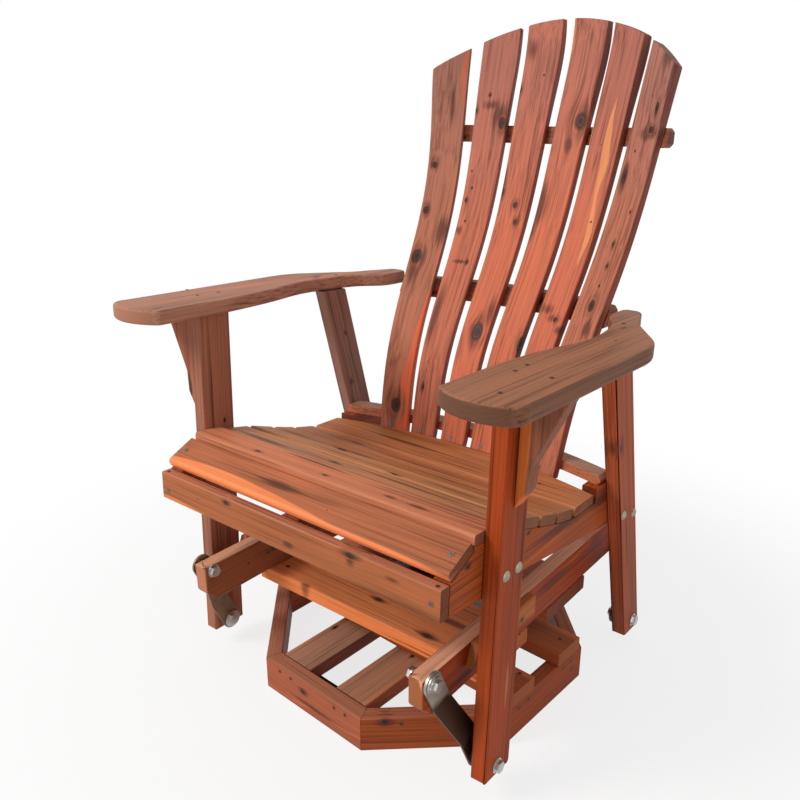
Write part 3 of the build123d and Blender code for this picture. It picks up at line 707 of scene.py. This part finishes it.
def screws(name, body, places, darkened=False):
    """A group of screws on one body, as (node, start, way) to each. Darkened screws are drawn smaller and
    wholly in painted recess shade, as dark sunk holes.
    """
    shape = bmesh.new()
    for place in places:
        add_screw(shape, *surface_under(*place), size=0.75 if darkened else 1.0)
    piece = piece_from(shape, name)
    smooth_faces(piece, SCREW_SHARP)
    shadow = shared_material("screw_recess_shadow", screw_recess)
    zinc = shadow if darkened else shared_material(
        "zinc_screws", lambda: zinc_steel("zinc_screws", 0.3, 0.4, SCREW_ZINC))
    piece.data.materials.append(zinc)
    piece.data.materials.append(shadow)
    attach(piece, body)
    return piece


def frame_ways(number):
    """The way out of a board of the octagon, and the way along it, before the frame is turned."""
    angle = math.radians(45 * (number - 1))
    return Vector((math.cos(angle), math.sin(angle), 0)), Vector((-math.sin(angle), math.cos(angle), 0))


def in_seat(x, y, z):
    """A place given in the seat's frame."""
    return SEAT_FRAME @ Vector((x, y, z))


def surface_under(node, start, way):
    """Where a straight line from a start point meets a node, and the face's normal there."""
    mesh = NODES[node].data
    skin = BVHTree.FromPolygons([v.co for v in mesh.vertices], [p.vertices for p in mesh.polygons])
    place, normal = skin.ray_cast(start, way)[:2]
    if place is None:
        raise RuntimeError("no surface of " + node + " under a screw")
    return place, normal


class GLIDER_OT_floor_frame(bpy.types.Operator):
    """Eases and stains the eight mitred boards of the floor frame, and the ledgers inside it"""

    bl_idname = "glider.floor_frame"
    bl_label = "Floor frame"

    def execute(self, context):
        for number in range(1, 9):
            tangent = frame_ways(number)[1]
            cedar_board("base_side_" + str(number), BASE_FRAME, tangent, ALONG_Z, FRAME_EDGE)
        cedar_board("base_ledgers", BASE_FRAME, ALONG_X, ALONG_Z, LEDGER_EDGE)
        return {"FINISHED"}


class GLIDER_OT_floor_planks(bpy.types.Operator):
    """Eases and stains the planks of the base"""

    bl_idname = "glider.floor_planks"
    bl_label = "Base planks"

    def execute(self, context):
        for side in SIDES:
            cedar_board("base_plank_" + side, BASE_FRAME, ALONG_Y, ALONG_X)
        for end in ENDS:
            cedar_board("base_cross_plank_" + end, BASE_FRAME, ALONG_X, ALONG_Y)
        return {"FINISHED"}


class GLIDER_OT_swivel(bpy.types.Operator):
    """Gives the swivel's pressed plates, pin, cage and balls their steel"""

    bl_idname = "glider.swivel"
    bl_label = "Swivel"

    def execute(self, context):
        plate = zinc_steel("zinc_swivel_plate", 0.38, 0.5)
        for node in ("swivel_lower_plate", "swivel_upper_plate"):
            dressed_metal(node, plate, 0.6 * MM)
        for node in ("swivel_king_pin", "swivel_cage"):
            dressed_metal(node, plate)
        dressed_metal("swivel_balls", ball_steel())
        return {"FINISHED"}


class GLIDER_OT_carriage(bpy.types.Operator):
    """Eases and stains the carriage's planks, rails and blocks"""

    bl_idname = "glider.carriage"
    bl_label = "Carriage"

    def execute(self, context):
        for end in ENDS:
            cedar_board("carriage_plank_" + end, CARRIAGE_FRAME, ALONG_X, ALONG_Y)
        for side in SIDES:
            cedar_board("carriage_rail_" + side, CARRIAGE_FRAME, ALONG_Y, ALONG_Z, WORN_EDGE, ends=RAIL_END)
            cedar_board("carriage_rail_block_" + side, CARRIAGE_FRAME, ALONG_Y, ALONG_Z)
        return {"FINISHED"}


class GLIDER_OT_links(bpy.types.Operator):
    """Gives the four steel links their zinc"""

    bl_idname = "glider.links"
    bl_label = "Links"

    def execute(self, context):
        straps = {
            "left": zinc_steel("zinc_link", 0.34, 0.5, srgb(174, 168, 156), LINK_STAIN_HEIGHT),
            "right": zinc_steel("warm_zinc_link", 0.42, 0.3, srgb(140, 114, 92)),
        }
        for end in ENDS:
            for side, strap in straps.items():
                dressed_metal(end + "_link_" + side, strap)
        return {"FINISHED"}


class GLIDER_OT_pivots(bpy.types.Operator):
    """Gives the pivot bolts and leg bolts their zinc"""

    bl_idname = "glider.pivots"
    bl_label = "Bolts and nuts"

    def execute(self, context):
        bolt = zinc_steel("zinc_bolt", 0.2, 0.22, srgb(190, 190, 186))
        for node in ("upper_pivot_bolts", "front_lower_pivot_bolts", "rear_lower_pivot_bolts"):
            dressed_metal(node, bolt)
        warm = zinc_steel("warm_zinc_bolt", 0.3, 0.3, srgb(160, 148, 130))
        dressed_metal("leg_bolts", warm)
        return {"FINISHED"}


class GLIDER_OT_legs(bpy.types.Operator):
    """Eases and stains the four legs"""

    bl_idname = "glider.legs"
    bl_label = "Legs"

    def execute(self, context):
        slant = (REAR_LEG_TOP - REAR_LEG_FOOT).normalized()
        for side in SIDES:
            cedar_board("front_leg_" + side, SEAT_FRAME, ALONG_Z, ALONG_Y, ends=LEG_END)
            cedar_board("rear_leg_" + side, SEAT_FRAME, slant, slant.cross(ALONG_X), ends=LEG_END)
        return {"FINISHED"}


class GLIDER_OT_stringers(bpy.types.Operator):
    """Eases and stains the stringers under the seat"""

    bl_idname = "glider.stringers"
    bl_label = "Stringers"

    def execute(self, context):
        for side in SIDES:
            cedar_board("seat_stringer_" + side, SEAT_FRAME, ALONG_Y, ALONG_Z, HIDDEN_EDGE)
        cedar_board("seat_centre_stringer", SEAT_FRAME, ALONG_Y, ALONG_Z, HIDDEN_EDGE)
        return {"FINISHED"}


class GLIDER_OT_seat_slats(bpy.types.Operator):
    """Eases and stains the seat's slats, its rounded nose and its apron"""

    bl_idname = "glider.seat_slats"
    bl_label = "Seat slats"

    def execute(self, context):
        for number in range(1, 7):
            node = "seat_slat_" + str(number)
            cedar_board(node, SEAT_FRAME, ALONG_X, ALONG_Y, WORN_EDGE, shortest=8 * MM)
        nose_way = Vector((0, math.cos(NOSE_TILT), math.sin(NOSE_TILT)))
        cedar_board("seat_nose_slat", SEAT_FRAME, ALONG_X, nose_way, SMALL_EDGE, shortest=6 * MM)
        cedar_board("seat_apron", SEAT_FRAME, ALONG_X, ALONG_Z)
        return {"FINISHED"}


class GLIDER_OT_back_slats(bpy.types.Operator):
    """Eases and stains the six bent slats of the back"""

    bl_idname = "glider.back_slats"
    bl_label = "Back slats"

    def execute(self, context):
        for number in range(1, 7):
            cedar_board("back_slat_" + str(number), SEAT_FRAME, ALONG_Z, ALONG_X, rule=slat_rule(number))
        return {"FINISHED"}


class GLIDER_OT_back_rails(bpy.types.Operator):
    """Eases and stains the three rails behind the back's slats"""

    bl_idname = "glider.back_rails"
    bl_label = "Back rails"

    def execute(self, context):
        for place in ("lower", "middle", "upper"):
            node = place + "_back_rail"
            cedar_board(node, SEAT_FRAME, ALONG_X, ALONG_Z, HIDDEN_EDGE, shortest=4 * MM, ends=None)
        return {"FINISHED"}


class GLIDER_OT_arms(bpy.types.Operator):
    """Eases and stains the arms and their brackets"""

    bl_idname = "glider.arms"
    bl_label = "Arms"

    def execute(self, context):
        for side in SIDES:
            for node, along, radius in (
                    ("arm_" + side, ALONG_Y, WORN_EDGE), ("arm_bracket_" + side, ALONG_Z, SMALL_EDGE)):
                cedar_board(node, SEAT_FRAME, along, ALONG_X, radius, shortest=0.5 * MM, ends=None)
        return {"FINISHED"}


class GLIDER_OT_screws(bpy.types.Operator):
    """Drives the screws that show in the seat, back, arms and base"""

    bl_idname = "glider.screws"
    bl_label = "Screws"

    def execute(self, context):
        down = SEAT_FRAME.to_3x3() @ -ALONG_Z
        back = SEAT_FRAME.to_3x3() @ ALONG_Y
        nose_low, nose_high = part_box("seat_nose_slat")
        nose_y = nose_low[1] + 0.55 * (nose_high[1] - nose_low[1])
        places = []
        for x, height in APRON_SCREWS:
            places.append(("seat_nose_slat", Vector((x, nose_y, OVER_SEAT)), down))
            places.append(("seat_apron", in_seat(x, -0.5, height), back))
        screws("seat_screws", "seat", places)

        places = []
        for number in range(1, 7):
            start = in_seat(SLAT_FOOT_X[number] - 0.003, -0.3, 0.3825)
            places.append(("back_slat_" + str(number), start, back))
        screws("back_screws", "seat", places)

        places = []
        for side in SIDES:
            for x, y in ARM_SCREWS[side]:
                places.append(("arm_" + side, in_seat(x, y, OVER_ARMS), down))
        for x in (-0.282, 0.282):
            places.append(("seat_apron", in_seat(x, -0.353, OVER_SEAT), down))
        # Screws sunk in the arms and the apron's top, drawn as dark holes in painted shade
        screws("shaded_seat_screws", "seat", places, darkened=True)

        places = []
        for x, y in ((0.205, -0.06), (-0.205, -0.06), (-0.205, -0.15)):
            start = CARRIAGE_FRAME @ Vector((x, y, OVER_PLANKS))
            places.append(("carriage_plank_front", start, -ALONG_Z))
        for y in (-0.1817, -0.168):
            start = CARRIAGE_FRAME @ Vector((0, y, 0.2016))
            places.append(("carriage_rail_right", start, -ALONG_X))
            places.append(("carriage_rail_left", start, ALONG_X))
        screws("carriage_screws", "carriage", places)

        places = []
        turn = BASE_FRAME.to_3x3()
        for number in range(1, 9):
            outward, tangent = [turn @ way for way in frame_ways(number)]
            for step in (-0.081, -0.052, 0.057, 0.083):
                start = BASE_FRAME @ Vector((0, 0, 0.0525)) + outward * 0.5 + tangent * step
                places.append(("base_side_" + str(number), start, -outward))
        for plank, y in (("front", -0.05), ("rear", 0.077)):
            for x in (-0.263, 0.263):
                start = BASE_FRAME @ Vector((x, y, OVER_PLANKS))
                places.append(("base_cross_plank_" + plank, start, -ALONG_Z))
        # Screws sunk in the base, drawn as dark holes in painted shade
        screws("shaded_base_screws", "base", places, darkened=True)
        return {"FINISHED"}


class GLIDER_OT_stage(bpy.types.Operator):
    """Sets the pale floor, the lamps and the camera"""

    bl_idname = "glider.stage"
    bl_label = "Stage"

    def execute(self, context):
        stage = context.scene.stage_settings
        make_floor(stage)
        make_lamps(stage)
        make_camera(stage)
        context.scene.view_settings.view_transform = "Standard"
        return {"FINISHED"}


def make_floor(stage):
    """A pale floor that keeps the chair's shadow and turns white further out."""
    shape = bmesh.new()
    bmesh.ops.create_grid(shape, x_segments=1, y_segments=1, size=stage.floor_width / 2)
    floor = piece_from(shape, "pale_floor")
    f = Finish("pale_floor")
    place = f.object_place()
    x, y, z = f.split(place)
    far = (x * x + y * y).root().above(0.55, 1.25)
    paint = f.blend(f.noise(place, 60.0), srgb(238, 237, 235), srgb(244, 243, 241))
    lit = f.add("BsdfDiffuse", None, {"Color": paint})
    white = f.add("Emission", None, {"Color": WHITE, "Strength": 1.0})
    mixed = f.add("MixShader", None, [(far * 0.22 + 0.78) * f.seen(), lit, white])
    f.add("OutputMaterial", None, [mixed])
    floor.data.materials.append(f.material)


def make_lamps(stage):
    """A plain white surrounding, which lights the chair less than it shows, and two lamps."""
    world = bpy.data.worlds.new("plain_sky")
    bpy.context.scene.world = world
    f = Finish("plain_sky", world)
    sky = f.add("Background", None, {"Color": (0.96, 0.98, 1.0, 1), "Strength": stage.sky})
    plain = f.add("Background", None, {"Color": WHITE, "Strength": 1.0})
    mixed = f.add("MixShader", None, [f.seen(), sky, plain])
    f.add("OutputWorld", None, [mixed])
    add_lamp("key_lamp", (-1.6, -2.65, 2.6), stage.key_power, size=1.3, colour=(1.0, 0.985, 0.96))
    add_lamp("side_lamp", (2.7, -1.4, 1.3), stage.fill_power, size=1.8, colour=(1.0, 0.97, 0.93))


def add_lamp(name, place, power, size, colour):
    data = bpy.data.lights.new(name, "AREA")
    data.shape = "DISK"
    data.size = size
    data.energy = power
    data.color = colour
    lamp = bpy.data.objects.new(name, data)
    lamp.location = place
    lamp.rotation_mode = "QUATERNION"
    lamp.rotation_quaternion = (LAMPS_AIM - Vector(place)).to_track_quat("-Z", "Y")
    bpy.context.scene.collection.objects.link(lamp)


def make_camera(stage):
    data = bpy.data.cameras.new("camera")
    data.sensor_width = 36.0
    data.lens = stage.lens
    camera = bpy.data.objects.new("camera", data)
    camera.location = Vector(stage.camera_place) + Vector((0, SWIVEL_Y, 0))
    camera.rotation_euler = (math.radians(CAMERA_TILT), 0, math.radians(CAMERA_TURN))
    bpy.context.scene.collection.objects.link(camera)
    bpy.context.scene.camera = camera


# Screws, in the seat's frame: (x, height) on the apron and (x, y) on the arms
APRON_SCREWS = ((-0.277, 0.3635), (0.277, 0.3705))
ARM_SCREWS = {
    "left": ((0.319, -0.257), (0.353, -0.347), (0.368, -0.253), (0.316, -0.223), (0.306, 0.094)),
    "right": ((-0.3934, -0.2093), (-0.3406, -0.2277), (-0.3385, -0.1839), (-0.3154, 0.1)),
}
# Heights from which the screws are let down onto the wood
OVER_PLANKS = 0.3
OVER_SEAT = 0.6
OVER_ARMS = 0.75

# The back has faded towards its top, and its slats' side faces are darkened as painted shade
SLAT_FADE = (0.72, 1.1, (0.76, 0.96, 1.26))
SLAT_SIDE_SHADE = (0.6, 0.52, 0.56)

# Looks of the boards, as in cedar(), but with screen colours and in millimetres. On the back's slats
# along is the height in the seat's frame, and across starts at the slat's middle line
# Beside the wood's own colour, the stains hold painted light and shade: boards on the shaded side, such as
# the legs, stringer and carriage rail on the left and the base's sides that face +X, are stained deeper and
# more saturated as painted shade
BOARD_LOOKS = {
    "arm_left": {
        "stain": (124, 81, 57), "top": (159, 106, 77), "cut": (103, 66, 49), "bands": [],
        "knots": [(-20, 345, 2.5, 1.4), (120, 330, 3, 1.6)],
        "smudges": [(65.3, 319.4, 12, 4)],
    },
    "arm_right": {
        "stain": (175, 123, 100), "top": (175, 120, 96), "cut": (160, 108, 84),
        "knots": [(58, -328.6, 5, 1.3), (44.4, -318, 3, 1.8), (100, -315.4, 2.5, 1.5)],
        "smudges": [(-340, -300, 12, 4)],
        "bands": [(0.3, [(0, -345, -320), (50, -340, -312), (120, -335, -310)])],
    },
    "arm_bracket_left": {
        "stain": (140, 84, 60), "sap": (222, 116, 49),
        "knots": [(520, 365.5, 2, 1.2)],
        "bands": [(0.95, [(470, 310, 330), (530, 312, 335), (590, 316, 337.5), (650, 322, 337)])],
    },
    "arm_bracket_right": {"stain": (160, 92, 66), "bands": []},
    "front_leg_left": {
        "stain": (160, 64, 19), "sap": (190, 130, 96),
        "knots": [(240, -214, 1.6, 1.2), (85, -250, 1.8, 1.2)],
        # The first smudge, high on the outer face in front of the bracket, is painted shade
        "smudges": [(560, -230, 90, 20), (420, -205, 100, 6)],
        "bands": [(0.6, [(130, -219, -224.5), (165, -223.5, -218.5), (210, -223, -218.5),
            (240, -219, -224.5)])],
    },
    "front_leg_right": {
        "stain": (158, 100, 76), "bands": [],
        "knots": [(450, -218.9, 4, 1.5)],
        "smudges": [(490, -245.4, 130, 2.6), (520, -244.8, 50, 2.2)],
    },
    "rear_leg_left": {
        "stain": (168, 82, 49), "bands": [],
        "knots": [(409, 236.5, 4, 2.6)],
        "smudges": [(409, 240, 30, 10), (200, 250, 120, 4)],
    },
    "rear_leg_right": {
        "stain": (152, 107, 91), "bands": [],
        "knots": [(500, 262, 2.6, 1.3), (390, 250, 3, 1.6)],
    },
    "seat_slat_1": {
        "stain": (200, 124, 88),
        "knots": [(-146.3, -272.3, 4, 2), (4.4, -270.8, 3.5, 1.8)],
        "smudges": [(181.1, -265.2, 20, 6), (130, -265.7, 14, 6), (-50, -240, 80, 4)],
        "bands": [(0.35, [(-300, -262, -256), (20, -262, -254), (100, -260, -253), (300, -258, -254)])],
    },
    "seat_slat_2": {
        "stain": (196, 132, 90), "bands": [],
        "knots": [(-40, -200, 3, 2)],
        "smudges": [(100, -190, 120, 5), (-200, -210, 60, 8)],
    },
    "seat_slat_3": {
        "stain": (196, 132, 85),
        "knots": [(51.2, -155.8, 4, 2.2)],
        "smudges": [(-100, -140, 100, 5), (150, -130, 80, 6)],
        "bands": [(0.6, [(62, -155, -154.5), (75, -156, -153), (110, -155.5, -153.5), (160, -155, -154)])],
    },
    "seat_slat_4": {
        "stain": (187, 120, 75), "bands": [],
        "knots": [(-117.3, -98.9, 5, 2.6)],
        "smudges": [(-80, -95, 50, 6), (100, -70, 100, 6)],
    },
    "seat_slat_5": {
        "stain": (185, 115, 71), "bands": [],
        "knots": [(-153.3, -17, 4, 2)],
        "smudges": [(0, -30, 120, 5)],
    },
    "seat_slat_6": {
        "stain": (193, 120, 74),
        "knots": [(140, 52, 4, 2.2), (200, 60, 2, 1.5)],
        "smudges": [(50, 30, 100, 5), (-100, 60, 80, 8)],
        "bands": [(0.4, [(100, 28, 31), (180, 30, 33), (280, 34, 36)])],
    },
    # The bright band along the nose's rounded front edge is partly sapwood and partly a painted highlight
    # where the edge catches the light
    "seat_nose_slat": {
        "stain": (175, 103, 69), "sap": (255, 146, 90),
        "knots": [(59.4, -101, 1.6, 1.3)],
        "smudges": [(-50, -90, 50, 8)],
        "bands": [(0.95, [(-292, -160, -113.5), (-178.1, -160, -103.9), (-67.6, -160, -107.1),
            (15.8, -160, -114.8), (70.5, -160, -118.9), (119.7, -160, -119.9), (210.2, -160, -120.4),
            (292, -160, -123.8)])],
    },
    "seat_apron": {
        "stain": (163, 94, 56), "top": (182, 114, 84),
        "knots": [(136.4, 389.7, 5, 2.2), (-126.4, 388.3, 3.5, 1.6), (-197.2, 373.2, 1.6, 1.2)],
        "smudges": [(12.6, 363.1, 14, 6), (211.9, 381.1, 20, 5), (136.4, 381, 12, 12)],
        "bands": [(0.7, [(-292, 320, 355.5), (-240, 320, 354), (-200, 320, 351), (-160, 320, 345)])],
    },
    # Stained brighter than the other planks as painted light, so that this plank looks lit where the seat
    # shades it
    "carriage_plank_front": {
        "stain": (255, 141, 76), "top": (243, 149, 93),
        "knots": [(1.3, -126.9, 6, 1.6), (132.9, -158.3, 6, 1.8)],
        "smudges": [(-133, -175, 14, 6), (-50, -100, 70, 10), (140, -100, 70, 8)],
        "bands": [(0.6, [(-260, -220, -175.5), (0, -220, -176.5), (260, -220, -175.5)])],
    },
    "carriage_plank_rear": {"stain": (176, 92, 52)},
    "carriage_rail_left": {
        "stain": (161, 64, 25), "top": (233, 169, 136), "cut": (163, 98, 56), "sap": (206, 104, 48),
        "knots": [(-190, 200, 2, 1.3)],
        "smudges": [(50, 215, 80, 12), (-200, 180, 100, 8)],
        "bands": [(0.4, [(-50, 200, 204), (20, 206, 211), (100, 214, 222), (200, 225, 240)])],
    },
    "carriage_rail_right": {
        "stain": (140, 78, 48), "top": (217, 161, 126), "cut": (188, 120, 88), "bands": [],
        "knots": [(-230, 200, 2.4, 1.3)],
    },
    "carriage_rail_block_left": {"stain": (178, 100, 52), "cut": (176, 104, 52), "bands": []},
    "base_side_1": {
        "stain": (151, 63, 15), "top": (168, 92, 58), "bands": [],
        "knots": [(86.2, 32.3, 4.5, 1.4), (-40, 20, 2, 1.4)],
    },
    "base_side_2": {"stain": (150, 70, 34), "top": (170, 100, 66), "bands": []},
    "base_side_6": {"stain": (158, 84, 56), "top": (170, 110, 84), "bands": []},
    "base_side_7": {
        "stain": (164, 88, 58), "top": (166, 108, 82), "sap": (226, 124, 74),
        "knots": [(-20, 41.6, 4.5, 1.3)],
        "smudges": [(0, 20, 60, 6)],
        "bands": [(0.5, [(-118, 4, 12), (-70, 6, 9), (-20, 11, 16), (21.4, 22, 24.5), (60, 17, 21),
            (118, 23, 28)]),
                  (0.4, [(-50, 30, 30), (20, 34, 37), (90, 36, 38), (118, 38, 40)])],
    },
    "base_side_8": {
        "stain": (154, 73, 33), "top": (164, 100, 74), "sap": (190, 100, 50),
        "knots": [(-78, 58, 4, 1.4)],
        "smudges": [(-78, 56, 20, 10)],
        "bands": [(0.35, [(-118, 10, 18), (-40, 4, 12), (40, 8, 12), (118, 12, 14)])],
    },
    # The ledgers are stained near black as painted shade, for the dark hollow inside the base
    "base_ledgers": {"stain": (44, 28, 22), "knots": [], "bands": []},
    "base_plank_left": {"stain": (156, 82, 50), "top": (170, 123, 95)},
    "base_plank_right": {"stain": (150, 78, 50), "top": (172, 129, 104)},
    "base_cross_plank_front": {"stain": (176, 88, 44), "top": (172, 96, 56), "cut": (150, 78, 36)},
    "base_cross_plank_rear": {"stain": (170, 86, 44), "top": (170, 96, 58), "cut": (150, 78, 36)},
    "seat_stringer_left": {
        "stain": (164, 76, 30), "sap": (214, 108, 44),
        "knots": [(-300, 405, 3, 1.3), (-140, 392, 3, 1.4)],
        "smudges": [(-20, 360, 100, 12), (120, 360, 60, 16)],
        "bands": [(0.5, [(-340, 318, 327), (-220, 333, 339), (-50, 345, 352), (100, 362, 370),
            (220, 370, 376)]),
                  (0.35, [(-340, 345, 349), (-200, 358, 361), (0, 372, 375), (220, 390, 392)])],
    },
    "seat_stringer_right": {"stain": (160, 84, 50)},
    "seat_centre_stringer": {"stain": (140, 74, 48)},
    "lower_back_rail": {"stain": (186, 110, 78), "top": (178, 128, 102), "bands": []},
    "middle_back_rail": {"stain": (150, 84, 60), "bands": []},
    "upper_back_rail": {"stain": (150, 84, 60), "bands": []},
    "back_slat_1": {
        "stain": (194, 117, 87), "sap": (230, 108, 68), "grey": 0.5,
        "knots": [(887.1, -16.4, 5.5, 1.3), (798.4, -19.7, 6.5, 1.2), (709.1, -15.5, 11, 1.3),
                  (421.5, 2.7, 12, 1.35)],
        "smudges": [(998, 8, 45, 6), (761.4, 18.2, 35, 16), (682, -15.1, 30, 13)],
        "bands": [(0.95, [(360, 2, 50), (381.5, 8.4, 50), (404, 17.5, 50), (424, 19.9, 50),
            (442.8, 11.5, 50), (472.2, 8, 50), (502.6, 14.3, 50), (542.3, 17, 50), (581, 20, 50),
            (620, 24.5, 50), (660, 31, 50), (750, 60, 70)]),
                  (0.6, [(970, 40, 40), (1033.6, 19.7, 26.6), (1109.6, 20.5, 27.7), (1170, 20, 29)])],
    },
    "back_slat_2": {
        "stain": (200, 112, 83), "grey": 0.15, "bands": [],
        "knots": [(1024.4, -8.4, 3, 1), (993.6, -31.9, 5, 1.4), (971.7, 24, 7, 1.6), (878.1, -22.1, 2, 1.2),
                  (845.4, -15.6, 2.5, 1.3), (821.7, -23.2, 3.2, 1.2), (781.5, -15.3, 2.5, 1.2),
                  (704.9, 12, 3, 1), (466, -11.2, 3, 1.8)],
        "smudges": [(1005.3, -4, 12, 20), (985, 18, 30, 20), (763.5, -25.2, 12, 10), (704.9, -4, 4, 16),
                    (600, -20, 70, 10)],
    },
    "back_slat_3": {
        "stain": (204, 110, 79), "bands": [],
        "knots": [(1061.5, 10.3, 2, 1.3), (1034.1, -34.2, 4, 1.3), (841, -31, 5, 1.6),
                  (818.4, 3.5, 5.5, 1.2), (787, 12.4, 5, 1.2), (583.8, 5.4, 12, 1.3)],
        "smudges": [(1110, -20, 30, 14), (620, 20, 40, 12), (860, -33, 40, 8)],
    },
    "back_slat_4": {
        "stain": (204, 110, 78),
        "knots": [(977.3, 18.9, 14, 1.35), (577.7, 29.6, 7, 2.2)],
        "smudges": [(816.5, -24.6, 50, 14), (935, 6, 16, 12), (775, -30, 30, 10)],
        "bands": [(0.6, [(900, -50, -40), (1069.8, -50, -33), (1123.5, -50, -30.5), (1170, -50, -30)])],
    },
    "back_slat_5": {
        "stain": (198, 108, 79), "sap": (250, 164, 104),
        "knots": [(801.5, 17.4, 2.5, 1), (936, -4, 1.6, 0.8), (630.9, 12, 5, 1)],
        "smudges": [(645, -12, 12, 18), (632, 8, 10, 20), (615, 26, 10, 12)],
        "bands": [(0.85, [(600, -50, -29), (800, -50, -30.5), (908.3, -50, -29.5), (943.9, -50, -29),
            (1033.3, -50, -33), (1170, -50, -45)]),
                  (0.68, [(740, 14, 20), (778.1, 13, 26), (830.7, 9, 17.7), (865.8, 6.2, 17.1),
            (900.9, 4, 21.4), (936, 0.1, 17.7), (975, 1, 12), (1012, 7.2, 7.6)])],
    },
    "back_slat_6": {
        "stain": (187, 112, 85), "bands": [],
        "knots": [(1018.8, 3.7, 1.2, 1), (999, 18.9, 4, 2.4), (963.3, 16.4, 6, 1), (927.8, -8.1, 2.4, 1.6),
                  (883.2, -17.5, 5, 2.4), (826.5, 17.6, 2.6, 1.4), (770.7, 3.3, 2.6, 1.6),
                  (734, 7.1, 2.6, 1.4), (700.2, 5.6, 2.4, 1.2), (666.4, 4.4, 7, 1.5)],
        "smudges": [(957, 12, 13, 26), (1090, 20, 30, 12), (630, 12, 20, 12)],
    },
}

OPERATORS = [
    GLIDER_OT_floor_frame,
    GLIDER_OT_floor_planks,
    GLIDER_OT_swivel,
    GLIDER_OT_carriage,
    GLIDER_OT_links,
    GLIDER_OT_pivots,
    GLIDER_OT_legs,
    GLIDER_OT_stringers,
    GLIDER_OT_seat_slats,
    GLIDER_OT_back_slats,
    GLIDER_OT_back_rails,
    GLIDER_OT_arms,
    GLIDER_OT_screws,
    GLIDER_OT_stage,
]


class GLIDER_PT_panel(bpy.types.Panel):
    """Sizes and colours of the chair, and a button for each group of pieces"""

    bl_label = "Swivel glider"
    bl_idname = "GLIDER_PT_panel"
    bl_space_type = "VIEW_3D"
    bl_region_type = "UI"
    bl_category = "Glider"

    def draw(self, context):
        for group in SETTINGS:
            box = self.layout.box()
            settings = getattr(context.scene, group)
            for name in settings.bl_rna.properties.keys():
                if name not in ("rna_type", "name"):
                    box.prop(settings, name)
        for operator in OPERATORS:
            self.layout.operator(operator.bl_idname)


SETTINGS = {
    "cedar_settings": CedarSettings,
    "fitting_settings": FittingSettings,
    "stage_settings": StageSettings,
}
CLASSES = [*SETTINGS.values(), *OPERATORS, GLIDER_PT_panel]


def register():
    for item in CLASSES:
        bpy.utils.register_class(item)
    for name, group in SETTINGS.items():
        setattr(bpy.types.Scene, name, PointerProperty(type=group))


def unregister():
    for name in SETTINGS:
        delattr(bpy.types.Scene, name)
    for item in reversed(CLASSES):
        bpy.utils.unregister_class(item)


def main():
    register()
    for operator in OPERATORS:
        getattr(bpy.ops.glider, operator.bl_idname.split(".")[1])()


if __name__ == "__main__":
    main()
